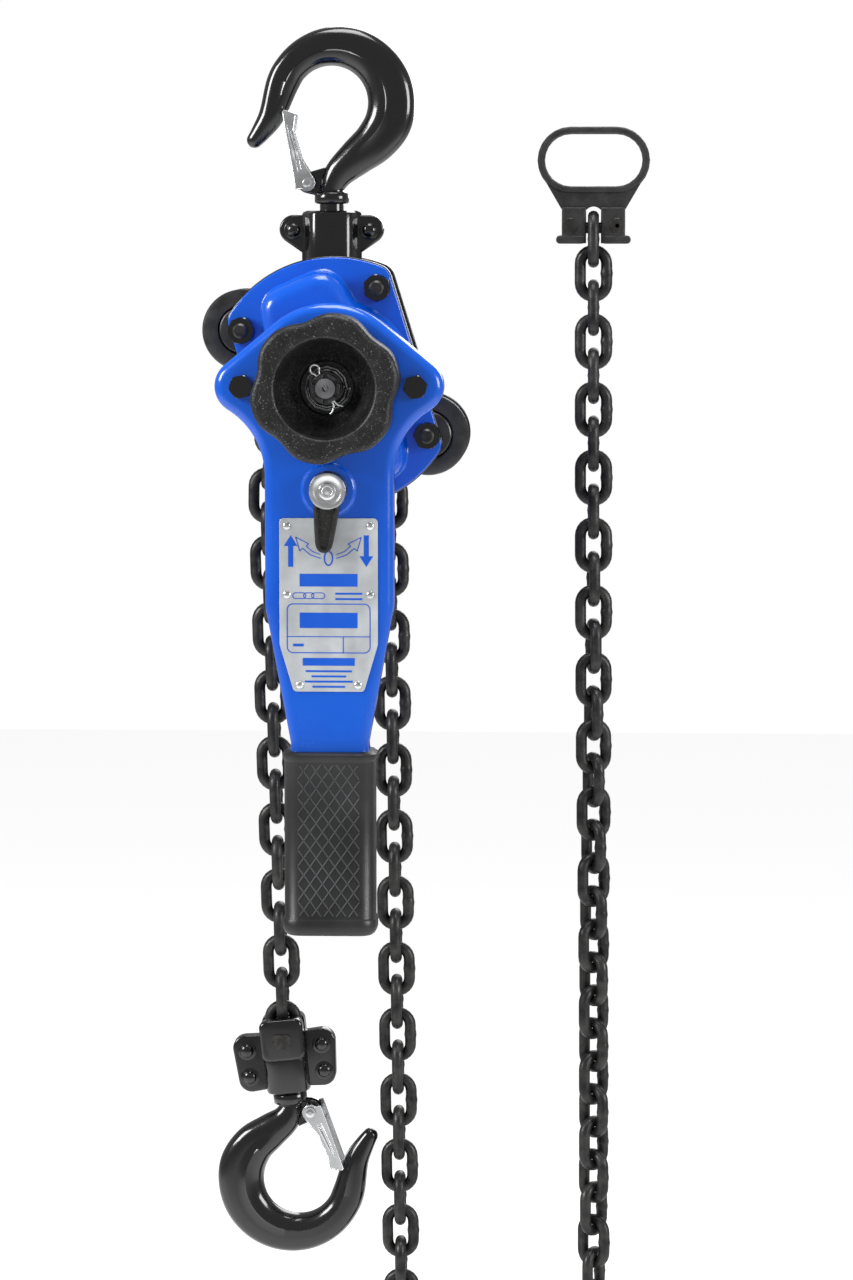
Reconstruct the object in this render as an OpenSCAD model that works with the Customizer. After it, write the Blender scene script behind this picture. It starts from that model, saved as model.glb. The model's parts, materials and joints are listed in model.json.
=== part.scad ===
// Lever chain hoist for 6 x 18 mm chain.
// Origin: the centre of the top hook's bowl, in the chain's centre plane.
// +X right, +Y from the handwheel towards the gear case, +Z up.

/* [Chain] */
// Diameter of the chain's wire
wire_d = 6; // [5.8:0.05:6.1]
// Pitch of the chain
pitch = 18; // [17.9:0.05:18.1]
// Inside width of a link
link_gap = 7.9; // [7.7:0.1:8.2]
// Links between the load sheave and the bottom hook, an even number
load_links = 20; // [14:2:20]
// Links between the load sheave and the end ring, an even number
slack_links = 74; // [66:2:74]

/* [Frame] */
// Clear gap between the two side plates
plate_gap = 30; // [29:0.5:32]
// Thickness of a side plate
plate_t = 4; // [3:0.5:4]
// Radius of the frame's rounded crown and foot
frame_r = 66.5; // [66:0.25:68]
// Width of the frame between its two straight edges
frame_w = 90.4; // [90:0.2:92]
// Thickness of the pressed covers
sheet_t = 2; // [1.5:0.5:2.5]

/* [Lever] */
// Lever's length from the shaft to the end of the grip
lever_len = 286; // [270:1:300]
// Width of the lever's stem
stem_w = 66.8; // [64:0.2:68]
// Width of the lever where it enters the grip
stem_end_w = 40.4; // [38:0.2:41]
// Distance of the selector below the shaft
selector_drop = 53.2; // [52.8:0.1:53.6]

/* [Handwheel] */
// Handwheel's radius over its lobes
wheel_r = 38.7; // [38:0.1:40]
// Depth of the hollows between the lobes
wheel_scallop = 3.4; // [2:0.1:4]

/* [Gears] */
// Module of both gear stages
gear_m = 1.5; // [1.5:0.1:1.5]
// Teeth on the drive shaft's pinion
pinion_teeth = 10; // [10:2:10]
// Teeth on each intermediate gear's wheel
wheel_teeth = 30; // [30:2:30]
// Teeth on each intermediate gear's own pinion
small_teeth = 12; // [12:2:12]
// Teeth on the load gear
load_teeth = 28; // [28:2:28]

/* [Hidden] */
$fn = 64;
fit = 0.05;                        // radial clearance of a running fit
apart = 0.1;                       // axial clearance between neighbours

// Chain link, from its wire and pitch
wire_r = wire_d / 2;
crown_r = link_gap / 2 + wire_r;   // centre-line radius of a link's rounded end
half_link = pitch / 2 + 0.1 + wire_r;   // link's centre to its end wire's centre
straight = half_link - crown_r;    // half of the straight length
pivot_shift = half_link - pitch / 2;

// Load sheave: five pockets, a flat and a standing link to each
pockets = 5;
flat_half = half_link;
standing_half = pitch - half_link;
sheave_r = 29.32;                  // solves asin(flat/r) + asin(standing/r) = 180 / pockets
flat_turn = 2 * asin(flat_half / sheave_r);
standing_turn = 2 * asin(standing_half / sheave_r);
wrap_start = 171;                  // where the loaded strand leaves the sheave
wrap_links = 5;
wrap_turn = 3 * standing_turn + 2 * flat_turn;
wrap_end = wrap_start - wrap_turn; // where the slack strand leaves it

// Depths along the drive shaft, front of the machine at -Y
plate_y = plate_gap / 2;
flange_y = plate_y + plate_t;
cover_y = 44;
lever_back_y = 46;
lever_split_y = 56;
lever_front_y = 68;
wheel_back_y = 72.4;
wheel_front_y = 99;

// Stay bolts, a pair of rollers on the first and third
stays = [[-49, 27.5], [22.6, 50], [49, -27.5], [-22.6, -50]];
stay_r = 6;
stud_r = 4;
nut_across = 13.8;
nut_h = 6.5;

// Gear train
gear_line = 107.5;                 // angle of the line through the two intermediate gears
centre_distance = gear_m * (pinion_teeth + wheel_teeth) / 2;
gear_case_y = 46;

// Suspension and hooks
top_x = -3;
top_pin_z = 57;
top_hook_at = [-2.6, 147];         // centre of the top hook's bowl
yoke_gap = 0.1;
hook_shank_r = 6.4;
hook_gap = 0.15;

// Selector's rest angle, its knob leaning a little
selector_lean = 4;

// ---------------------------------------------------------------- helpers

// The design's own origin is where the drive shaft crosses the chain's plane. Every node is
// moved from there, so that the origin is the centre of the top hook's bowl.
module placed() translate([-top_hook_at[0], 0, -top_hook_at[1]]) children();

// A 2D outline in X and Z, solid from y0 to y1
module slab(y0, y1) translate([0, y1, 0]) rotate([90, 0, 0]) linear_extrude(y1 - y0) children();

// A round bar along Y
module rod(r, y0, y1) translate([0, y1, 0]) rotate([90, 0, 0]) cylinder(r = r, h = y1 - y0);

module rod_at(p, r, y0, y1) translate([p[0], 0, p[1]]) rod(r, y0, y1);

// A hexagonal bar along Y
module hex_bar(across, y0, y1)
    translate([0, y1, 0]) rotate([90, 0, 0]) cylinder(r = across / 2 / cos(30), h = y1 - y0, $fn = 6);

function polar(r, a) = [r * cos(a), r * sin(a)];
function smooth(t) = let (u = max(0, min(1, t))) u * u * (3 - 2 * u);
function mix(a, b, t) = a + (b - a) * t;

// A tube swept through 3D points, round in section, closed at both ends
module wire(path, r, sides = 8) {
    n = len(path);
    rings = [for (i = [0 : n - 1])
        let (d = path[min(i + 1, n - 1)] - path[max(i - 1, 0)],
             t = d / norm(d),
             u0 = cross(t, abs(t[2]) > 0.9 ? [1, 0, 0] : [0, 0, 1]),
             u = u0 / norm(u0),
             v = cross(t, u))
        for (k = [0 : sides - 1]) path[i] + r * (cos(k * 360 / sides) * u + sin(k * 360 / sides) * v)];
    skin(rings, n, sides);
}

// Faces over n rings of the same number of points, with flat ends
module skin(points, n, sides) polyhedron(points, [
    [for (k = [0 : sides - 1]) sides - 1 - k],
    for (i = [0 : n - 2]) for (k = [0 : sides - 1]) let (j = (k + 1) % sides)
        [i * sides + k, i * sides + j, (i + 1) * sides + j],
    for (i = [0 : n - 2]) for (k = [0 : sides - 1]) let (j = (k + 1) % sides)
        [i * sides + k, (i + 1) * sides + j, (i + 1) * sides + k],
    [for (k = [0 : sides - 1]) (n - 1) * sides + k]
]);

// ---------------------------------------------------------------- chain

// One link standing in the plane of X and Z, its length along Z
module link() color("dimgray") {
    for (s = [0, 180]) rotate([0, s, 0]) {
        translate([0, 0, straight]) rotate([90, 0, 0])
            rotate_extrude(angle = 180) translate([crown_r, 0]) circle(r = wire_r);
        translate([crown_r, 0, -straight]) cylinder(r = wire_r, h = 2 * straight);
    }
}

// Where link i of a strand hands over to the next, measured from its own centre.
// A link lying across the strand's plane bends at its own end wire.
function handover(i, twist) = pitch / 2 + pivot_shift * (i % 2 == 0 ? 1 : -1) * cos(2 * twist);

// Each strand is a list of [centre, heading, twist] for its links. Even links lie across the
// strand's plane. A heading of 0 points down, 90 to +X.
function strand(start, n, heading, twist) = [
    for (i = 0, s = 0, p = start, back = half_link,
         here = heading(back), ahead = handover(0, twist(0));
         i < n;
         p = p + (back + ahead) * [sin(here), -cos(here)],
         s = s + back + ahead,
         back = pitch - ahead,
         i = i + 1,
         here = heading(s + back),
         ahead = handover(i, twist(s)))
        [p + back * [sin(here), -cos(here)], here, twist(s)]];

load_start = polar(sheave_r, wrap_start);
load_bend = function (s) mix(wrap_start - 180, 1.6, smooth((s - 36) / 44));
load_twist = function (s) 0;
load_strand = strand(load_start, load_links, load_bend, load_twist);

// The slack strand hangs, turns up in a loop and climbs to the end ring with a quarter twist
loop_r = 51.7;
slack_down = 546;
slack_lean = 0.85;
tail_lean = 180.25;
slack_start = polar(sheave_r, wrap_end);
slack_bend = function (s) s < slack_down
    ? mix(mix(wrap_end, -2.6, smooth(s / 20)), slack_lean, smooth((s - 30) / 60))
    : min(tail_lean, slack_lean + (s - slack_down) / loop_r * 180 / PI);
loop_end = slack_down + loop_r * PI * (tail_lean - slack_lean) / 180;
slack_twist = function (s) mix(0, 45, smooth((s - loop_end + 60) / 190))
    + mix(0, 45, smooth((s - loop_end - 170) / 330));
slack_strand = strand(slack_start, slack_links, slack_bend, slack_twist);

module links(list, first, last) for (i = [first : last]) let (k = list[i])
    translate([k[0][0], 0, k[0][1]]) rotate([0, -k[1], 0])
        rotate([0, 0, k[2] + (i % 2 == 0 ? 90 : 0)]) link();

load_half = load_links / 2;
loop_first = 29;
tail_first = 58;

module load_chain_upper() placed() links(load_strand, 0, load_half - 1);
module load_chain_lower() placed() links(load_strand, load_half, load_links - 1);
module slack_chain() placed() links(slack_strand, 0, loop_first - 1);
module tail_chain_lower() placed() links(slack_strand, loop_first, tail_first - 1);
module tail_chain_upper() placed() links(slack_strand, tail_first, slack_links - 1);

// The links seated on the sheave: standing links first and last
module sheave_chain() placed() for (i = [0 : wrap_links - 1]) {
    standing = i % 2 == 0;
    before = ceil(i / 2) * standing_turn + floor(i / 2) * flat_turn;
    turn = standing ? standing_turn : flat_turn;
    mid = wrap_start - before - turn / 2;
    out = sheave_r * cos(turn / 2);
    rotate([0, 90 - mid, 0]) translate([0, 0, out]) rotate([0, 90, 0])
        rotate([0, 0, standing ? 0 : 90]) link();
}

// ---------------------------------------------------------------- load sheave

thread_r = 5.1;
shaft_tip_y = 90;
split_y = 86.4;
split_lean = -30;
journal_front_r = 13;
drum_r = 31;
drum_y = 13.5;
journal_r = 15;
spline_r = 12.5;
shaft_r = 7;
groove_w = wire_d + 1.8;

module load_sheave() placed() color("slategray") difference() {
    union() {
        rod(drum_r, -drum_y, drum_y);
        rod(journal_r, -flange_y, flange_y);
        rod(spline_r, flange_y, 29.5);
    }
    rod(shaft_r + fit, -flange_y - 1, 31);
    difference() {
        rod(drum_r + 1, -groove_w / 2, groove_w / 2);
        rod(18.2, -groove_w, groove_w);
    }
    for (i = [0 : pockets - 1])
        rotate([0, 90 - (wrap_start - standing_turn - flat_turn / 2 + i * 360 / pockets), 0])
            translate([0, 0, sheave_r * cos(flat_turn / 2) - wire_r - 0.3]) sheave_pocket();
}

// The room one flat link needs, open outwards
module sheave_pocket() {
    room = crown_r + wire_r + 0.45;
    for (s = [-1, 1]) translate([s * straight, 0, 0]) cylinder(r = room, h = 20);
    translate([-straight, -room, 0]) cube([2 * straight, 2 * room, 20]);
}

module sheave_bushes() placed() color("darkgoldenrod") for (s = [-1, 1]) difference() {
    rod(journal_r + 4, min(s * plate_y, s * flange_y), max(s * plate_y, s * flange_y));
    rod(journal_r + fit, -flange_y - 1, flange_y + 1);
}

// ---------------------------------------------------------------- frame

// The frame's outline: a disc cut by two leaning straight edges, its four corners rounded
frame_lean = 17.2;
frame_corner = 9;
module frame_outline(inset = 0)
    offset(r = frame_corner - inset) offset(delta = -frame_corner) intersection() {
        circle(r = frame_r);
        rotate(frame_lean) square([frame_w, 3 * frame_r], center = true);
    }

module stay_holes(r, y0, y1) for (p = stays) rod_at(p, r, y0, y1);

gear_spots = [for (s = [0, 180]) polar(centre_distance, gear_line + s)];

module front_side_plate() placed() color("black") difference() {
    slab(-flange_y, -plate_y) frame_outline();
    rod(journal_r + 4, -flange_y - 1, 0);
    stay_holes(stud_r, -flange_y - 1, 0);
    rod_at([top_x, top_pin_z], suspension_r, -flange_y - 1, 0);
    for (s = [0, 180]) rotate([0, s, 0]) rod_at(pawl_pivot, pawl_pin_r, -flange_y - 1, 0);
}

module rear_side_plate() placed() color("black") difference() {
    slab(plate_y, flange_y) frame_outline();
    rod(journal_r + 4, 0, flange_y + 1);
    stay_holes(stud_r, 0, flange_y + 1);
    rod_at([top_x, top_pin_z], suspension_r, 0, flange_y + 1);
    for (p = gear_spots) rod_at(p, 5 + fit, 0, flange_y + 1);
}

// Two of the stays carry the guide rollers; the other two are thinner, clear of the load chain
spacer_r = 4.3;
module stay_bolts() placed() color("dimgray") for (i = [0 : len(stays) - 1]) {
    rod_at(stays[i], i % 2 == 0 ? stay_r : spacer_r, -plate_y, plate_y);
    rod_at(stays[i], stud_r, -31, 31);
}

module stay_nuts() placed() color("black") for (p = stays) for (s = [0, 1]) mirror([0, s, 0])
    translate([p[0], 0, p[1]]) difference() {
        intersection() {
            hex_bar(nut_across, -flange_y - sheet_t - nut_h, -flange_y - sheet_t);
            rod(nut_across / 2 + 0.6, -31, -20);
        }
        rod(stud_r, -31, -20);
    }

suspension_r = 5;
module suspension_pin() placed() color("dimgray")
    rod_at([top_x, top_pin_z], suspension_r, -flange_y, flange_y);

// Keeps the chain from riding round with the sheave: a post with a tongue in the sheave's groove
module chain_stripper() placed() color("dimgray") {
    difference() {
        slab(-plate_y, plate_y) polygon([[-9, -49], [9, -49], [12, -58], [-12, -58]]);
        slab(-11, 11) polygon([[-20, -48], [20, -48], [9, -54], [-9, -54]]);
    }
    slab(-2.5, 2.5) polygon([[-7, -20], [-2.5, -18.9], [2.5, -18.9], [7, -20],
                             [4, -40], [8, -56], [-8, -56], [-4, -40]]);
}

// ---------------------------------------------------------------- covers

// Outline of the raised part of the brake cover, with a bulge over each pawl
module dome_outline(inset = 0) {
    circle(r = 42 - inset);
    for (s = [0, 180]) rotate(s) hull() {
        translate([-25.5, 38]) circle(r = 12 - inset, $fn = 32);
        translate([-6, 46.5]) circle(r = 12 - inset, $fn = 32);
        circle(r = 30 - inset, $fn = 32);
    }
}

module brake_cover() placed() color("royalblue") difference() {
    union() {
        slab(-flange_y - sheet_t, -flange_y) frame_outline(0.6);
        slab(-cover_y, -flange_y - sheet_t) dome_outline();
    }
    slab(-cover_y + sheet_t, -flange_y + 1) dome_outline(sheet_t);
    rod(journal_front_r + 1, -cover_y - 1, 0);
    stay_holes(stud_r, -flange_y - 5, 0);
}

module case_outline(inset = 0) hull() for (p = gear_spots) translate(p) circle(r = 28 - inset, $fn = 48);

module gear_case() placed() color("black") difference() {
    union() {
        slab(flange_y, flange_y + sheet_t) frame_outline(0.6);
        slab(flange_y + sheet_t, gear_case_y) case_outline();
    }
    slab(flange_y - 1, gear_case_y - 5.5) case_outline(sheet_t);
    for (p = gear_spots) rod_at(p, 5 + fit, 0, gear_case_y - 2);
    rod(4.5 + fit, 0, gear_case_y - 2);
    stay_holes(stud_r, 0, 30);
}

// ---------------------------------------------------------------- gears

pressure = 25;
function involute_angle(a) = tan(a) * 180 / PI - a;

// A stub-toothed involute gear, with a tooth centred on +X
module gear_2d(teeth) {
    pitch_r = gear_m * teeth / 2;
    base_r = pitch_r * cos(pressure);
    tip_r = pitch_r + 0.8 * gear_m;
    root_r = pitch_r - 1.0 * gear_m;
    start_r = max(base_r, root_r);
    slack = 0.06 / pitch_r * 180 / PI;
    half = function (r) 90 / teeth - slack + involute_angle(pressure)
        - involute_angle(acos(min(1, base_r / r)));
    flank = concat([[root_r, half(start_r)]],
                   [for (k = [0 : 5]) let (r = mix(start_r, tip_r, k / 5)) [r, half(r)]]);
    polygon([for (t = [0 : teeth - 1]) each concat(
        [for (k = [0 : 6]) polar(flank[k][0], t * 360 / teeth - flank[k][1])],
        [for (k = [0 : 6]) polar(flank[6 - k][0], t * 360 / teeth + flank[6 - k][1])])]);
}

module gear(teeth, y0, y1, turn) slab(y0, y1) rotate(turn) gear_2d(teeth);

// The wheel meshes with the drive shaft's pinion, the small pinion with the load gear
module intermediate_gear() {
    p = gear_spots[0];
    translate([p[0], 0, p[1]]) color("silver") {
        gear(wheel_teeth, 33, 38.5, gear_line + 180 + 180 / wheel_teeth);
        gear(small_teeth, flange_y + 1, 33, gear_line + 180);
        rod(5, plate_y + 0.5, flange_y + 1);
        rod(5, 38.5, gear_case_y - 2.5);
    }
}

module intermediate_gear_upper() placed() intermediate_gear();
module intermediate_gear_lower() placed() rotate([0, 180, 0]) intermediate_gear();

module load_gear() placed() color("silver") difference() {
    gear(load_teeth, 21.5, 29, gear_line + 180 / load_teeth);
    rod(spline_r, 0, 40);
}

// ---------------------------------------------------------------- drive shaft and brake

module drive_shaft() placed() color("silver") difference() {
    union() {
        rod(4.5, 40, gear_case_y - 2.5);
        gear(pinion_teeth, 31.5, 40, gear_line);
        rod(shaft_r, -79, 31.5);
        rod(thread_r, -shaft_tip_y, -79);
    }
    rod(1.7, -shaft_tip_y - 1, -shaft_tip_y + 4);
    split_pin_hole();
}

// Cross hole for the split pin, through the castle nut's slots
module split_pin_hole() translate([0, -split_y, 0]) rotate([0, split_lean, 0])
    translate([0, 0, -9]) cylinder(r = 1.35, h = 18);

hub_flange_r = 33;
disc_r = 31;
module brake_hub() placed() color("gray") difference() {
    union() {
        rod(hub_flange_r, -26, -22);
        rod(11, -35.8, -26);
    }
    rod(shaft_r, -50, 0);
}

module friction_discs() placed() color("sienna") for (y = [-28.4, -36]) difference() {
    rod(disc_r, y, y + 2.3);
    rod(11 + 0.5, y - 1, y + 4);
}

ratchet_teeth = 12;
ratchet_tip_r = 36;
ratchet_root_r = 32;
ratchet_face = 96;                 // angle of the tooth face that the upper pawl stops
module ratchet_disc() placed() color("gray") difference() {
    slab(-33.5, -28.5) polygon([for (k = [0 : ratchet_teeth - 1])
        let (a = ratchet_face + k * 360 / ratchet_teeth)
        each [polar(ratchet_root_r, a),
              for (i = [1 : 4]) polar(mix(ratchet_root_r, ratchet_tip_r, i / 4), a + i * 7.5)]]);
    rod(11 + fit, -40, 0);
}

pawl_pivot = [-28, 39];
pawl_pin_r = 3;
module brake_pawl() color("gray") difference() {
    union() {
        rod_at(pawl_pivot, 6, -33.4, -28.6);
        slab(-33.4, -28.6) polygon([polar(33.2, 98), polar(35, 111), polar(37.2, 122),
                                    pawl_pivot + [-1, -5.9], pawl_pivot + [1.5, 5.8], polar(40, 97)]);
    }
    rod_at(pawl_pivot, pawl_pin_r + fit, -40, 0);
}
module brake_pawl_upper() placed() brake_pawl();
module brake_pawl_lower() placed() rotate([0, 180, 0]) brake_pawl();

module pawl_pins() placed() color("silver") for (s = [0, 180]) rotate([0, s, 0]) {
    rod_at(pawl_pivot, pawl_pin_r, -35, -plate_y);
    rod_at(pawl_pivot, 4.5, -36.5, -35);
    rod_at(pawl_pivot, 4.5, -28.4, -flange_y);
}

// The nut that squeezes the brake, toothed for the selector's pawl
tooth_r = 20;
module change_gear() placed() color("gray") difference() {
    union() {
        rod(disc_r, -39.5, -36.1);
        rod(journal_front_r, -51, -39.5);
        slab(-60, -51) polygon([for (k = [0 : 11]) each [
            polar(tooth_r, 30 * k - 5), polar(tooth_r, 30 * k + 5),
            polar(17, 30 * k + 9), polar(17, 30 * k + 21)]]);
        rod(12, -lever_front_y - 1, -60);
    }
    rod(shaft_r, -lever_front_y - 2, 0);
}

module castle_nut() placed() color("dimgray") difference() {
    union() {
        hex_bar(16.3, -84.2, -80.6);
        rod(7.6, -88.6, -84.2);
        rod(8.1, -80.6, -79.8);
    }
    rod(thread_r, -90, -79);
    for (k = [0 : 5]) rotate([0, k * 60 + split_lean, 0]) translate([-1.4, -89, 0]) cube([2.8, 4, 12]);
}

module split_pin() placed() color("silver") rotate([0, split_lean, 0]) translate([0, -split_y, 0]) {
    translate([0, 0, -11.5]) cylinder(r = 1.25, h = 21);
    translate([0, 0, 11.6]) rotate([90, 0, 0]) difference() {
        cylinder(r = 2.8, h = 1.8, center = true);
        cylinder(r = 1.4, h = 3, center = true);
    }
}

// Conical coil that keeps the handwheel pushed home
module freewheel_spring() placed() color("silver")
    wire([for (a = [0 : 30 : 720]) let (r = 8.6 + 3.4 * a / 720)
          [r * cos(a), -79 + 2.2 * a / 720, r * sin(a)]], 0.6);

module handwheel_outline() polygon([for (a = [0 : 5 : 355])
    polar(wheel_r - wheel_scallop * pow((1 + cos(6 * (a - 48))) / 2, 1.7), a)]);

module handwheel() placed() color("black") difference() {
    slab(-wheel_front_y, -wheel_back_y) handwheel_outline();
    rod(shaft_r + fit, -90, 0);
    translate([0, -76, 0]) rotate([90, 0, 0]) cylinder(r1 = 14, r2 = 25.6, h = wheel_front_y - 76 + 0.01);
}

// ---------------------------------------------------------------- guide rollers

roller_r = 21.5;
module guide_roller(p) color("black") translate([p[0], 0, p[1]]) difference() {
    union() {
        for (s = [0, 1]) mirror([0, s, 0]) {
            rod(roller_r, -plate_y + 0.5, -10.6);
            rod(15.2, -10.6, -4.2);
        }
        rod(9.6, -4.2, 4.2);
    }
    rod(stay_r + fit, -20, 20);
    for (s = [0, 1]) mirror([0, s, 0]) difference() {
        rod(18.6, -plate_y, -plate_y + 1.5);
        rod(12.9, -plate_y - 1, 0);
    }
}

module guide_roller_upper() placed() guide_roller(stays[0]);
module guide_roller_lower() placed() guide_roller(stays[2]);

// ---------------------------------------------------------------- lever

ear_x = 45;
ear_r = 14.3;
head_r = 43;
blend_r = 40;
blend_x = stem_w / 2 + blend_r;
blend_z = -sqrt(pow(ear_r + blend_r, 2) - pow(blend_x - ear_x, 2));
taper_z = -114;
grip_z = -183;

// The lever's outline: a round head, an ear on each side and a stem tapering into the grip
module lever_head() {
    circle(r = head_r);
    for (s = [-1, 1]) translate([s * ear_x, 0]) circle(r = ear_r);
    polygon([for (a = [50 : 10 : 130]) polar(head_r, a),
             for (s = [-1, 1]) [s * ear_x, 0] + ear_r * [s * cos(52), sin(52)]]);
}
module lever_stem() polygon([
    [-ear_x, 0], [-ear_x, ear_r], [ear_x, ear_r], [ear_x, 0], [ear_x + 7, -13], [stem_w / 2, blend_z],
    [stem_w / 2, taper_z], [stem_end_w / 2, grip_z + 3], [17, grip_z - 4], [17, -lever_len + 10],
    [-17, -lever_len + 10], [-17, grip_z - 4], [-stem_end_w / 2, grip_z + 3],
    [-stem_w / 2, taper_z], [-stem_w / 2, blend_z], [-ear_x - 7, -13]]);
module lever_outline() difference() {
    union() {
        lever_head();
        lever_stem();
    }
    for (s = [-1, 1]) translate([s * blend_x, blend_z]) circle(r = blend_r);
}

// A pressed shell open towards the other one. Its head and stem are joined as solids.
module lever_shell(y_out, y_in, side) difference() {
    y0 = min(y_out, y_in);
    y1 = max(y_out, y_in);
    union() {
        slab(y0, y1) lever_head();
        slab(y0, y1) lever_stem();
    }
    for (s = [-1, 1]) rod_at([s * blend_x, blend_z], blend_r, y0 - 1, y1 + 1);
    slab(min(y_out + side * sheet_t, y_in + side), max(y_out + side * sheet_t, y_in + side))
        offset(delta = -sheet_t) lever_outline();
}

module lever_front_shell() placed() color("royalblue") difference() {
    union() {
        lever_shell(-lever_front_y, -lever_split_y, 1);
        rod_at([0, -selector_drop], 12.8, -lever_front_y - 1.6, -lever_front_y + sheet_t);
    }
    rod(12 + fit, -70, 0);
    rod_at([0, -selector_drop], 5 + fit, -80, 0);
    for (s = [-1, 1]) rod_at([s * ear_x, 0], 3, -70, 0);
    for (p = rivet_spots) rod_at(p, 1.5, -70, 0);
}

module lever_rear_shell() placed() color("royalblue") difference() {
    lever_shell(-lever_back_y, -lever_split_y, -1);
    rod(journal_front_r + fit, -70, 0);
    for (s = [-1, 1]) rod_at([s * ear_x, 0], 3, -70, 0);
}

module lever_bolts() placed() color("silver") for (s = [-1, 1]) {
    translate([s * ear_x, 0, 0]) rotate([0, 90, 0]) intersection() {
        hex_bar(11.4, -lever_front_y - 4, -lever_front_y);
        rod(6.4, -73, 0);
    }
    rod_at([s * ear_x, 0], 3, -lever_front_y, -lever_back_y - 0.5);
    translate([s * ear_x, 0, 0]) difference() {
        hex_bar(10, -54, -48);
        rod(3, -60, 0);
    }
}

// A rounded rectangle, its corners true arcs
module rounded(w, h, r) {
    square([w, h - 2 * r], center = true);
    square([w - 2 * r, h], center = true);
    for (x = [-1, 1]) for (y = [-1, 1]) translate([x * (w / 2 - r), y * (h / 2 - r)]) circle(r = r);
}

grip_w = 47.4;
grip_y = [-73, -43];
module grip_bar(w, d, r, z0, z1)
    translate([0, (grip_y[0] + grip_y[1]) / 2, z0]) linear_extrude(z1 - z0) rounded(w, d, r);

module lever_grip() placed() color("black") difference() {
    union() {
        grip_bar(grip_w, 30, 9, -lever_len, grip_z - 5);
        grip_bar(grip_w + 1.8, 31, 9.4, grip_z - 5, grip_z);
        grip_bar(grip_w + 0.8, 30.6, 9.2, -lever_len, -lever_len + 8);
    }
    slab(-lever_front_y, -lever_back_y) intersection() {
        lever_outline();
        translate([-40, -lever_len]) square([80, lever_len + grip_z + 1]);
    }
    slab(grip_y[0] - 1, grip_y[0] + 0.8) translate([0, grip_z - 50]) rounded(32, 84, 3);
}

plate_top = -67.8;
plate_end = -158;
plate_t_y = 0.8;
rivet_spots = [for (s = [-1, 1]) each [[21.6 * s, -71.8], [21.6 * s, -107.5], [15.2 * s, -154.5]]];
module rating_plate() placed() color("gainsboro") difference() {
    slab(-lever_front_y - plate_t_y, -lever_front_y) offset(r = 2) offset(delta = -2) polygon([
        [-25.5, plate_top], [25.5, plate_top], [25.5, -133.5],
        [18.4, plate_end], [-18.4, plate_end], [-25.5, -133.5]]);
    for (p = rivet_spots) rod_at(p, 1.5, -75, 0);
}

module plate_rivets() placed() color("silver") for (p = rivet_spots) {
    rod_at(p, 1.5, -lever_front_y - plate_t_y, -lever_front_y + sheet_t + 0.8);
    translate([p[0], -lever_front_y - plate_t_y, p[1]]) rotate([90, 0, 0])
        cylinder(r1 = 2.1, r2 = 1.4, h = 0.8);
}

// ---------------------------------------------------------------- selector

module selector_axis() translate([0, 0, -selector_drop]) rotate([0, selector_lean, 0]) children();

module selector_knob() placed() color("black") selector_axis() {
    difference() {
        union() {
            rod(10, -76.5, -lever_front_y - 1.8);
            slab(-76, -70.5) polygon([[-7.2, 0], [-5.2, -22], [-4.4, -28], [-2.6, -31.3], [0, -32.2],
                                      [2.6, -31.3], [4.4, -28], [5.2, -22], [7.2, 0]]);
        }
        rod(3, -80, 0);
    }
    difference() {
        rod(5, -lever_front_y - 1.8, -52);
        rod(3, -80, 0);
    }
}

// Two arms on a hub that stands proud of them on both faces
module selector_pawl() placed() color("silver") selector_axis() difference() {
    union() {
        rod(10, -60, -52);
        for (s = [-1, 1]) rotate([0, 35 * s, 0])
            slab(-59.4, -52.6) polygon([[-6.3, 6], [-4, 26], [-2, 31], [2, 31], [4, 26], [6.3, 6]]);
    }
    rod(5, -80, 0);
}

module selector_washer() placed() color("silver") selector_axis() difference() {
    translate([0, -76.5, 0]) rotate([90, 0, 0]) cylinder(r1 = 9.5, r2 = 8, h = 1.4);
    rod(3, -80, 0);
}

module selector_screw() placed() color("silver") selector_axis() {
    rod(3, -78, -53);
    translate([0, -77.9, 0]) rotate([90, 0, 0]) cylinder(r1 = 4.7, r2 = 3, h = 1.8);
}

// ---------------------------------------------------------------- hooks

bowl_r = 19.2;
// The hook's centre line in its own frame, bowl at the origin and shank towards -Z: x, z, half
// width in its plane, half thickness across it. lift shortens the neck.
bowl_cut = 0.6;                    // what the true round of the bowl takes off the forging
function bowl_width(a) = mix(12.4, 8.6, smooth(a / 160));
function hook_spine(lift) = [
    [-43.3, -22.6, 3.5, 3.7], [-37.5, -15.5, 5.2, 5], [-31.5, -6, 6.9, 6.6],
    for (a = [160 : -20 : -20]) let (w = bowl_width(max(a, 0)), p = polar(bowl_r + w, a))
        [p[0], p[1], w + bowl_cut, min(8.5, 7.6 + (160 - a) / 60)],
    [23, -20.4, 11.4, 8.5], [13.4, -28.5 + lift / 3, 9.8, 8.2], [4.4, -36.6 + lift * 0.8, 8, 7.4],
    [0, -44 + lift, 6.6, 6.6], [0, -48 + lift, 6.4, 6.4]];

// A point a fraction of the way along a smooth curve through a list of points
function along(p, t) = let (
        n = len(p), i = min(floor(t), n - 2), u = t - i,
        a = p[max(i - 1, 0)], b = p[i], c = p[i + 1], d = p[min(i + 2, n - 1)])
    b + 0.5 * u * ((c - a) + u * ((2 * a - 5 * b + 4 * c - d) + u * (3 * b - a - 3 * c + d)));

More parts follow.
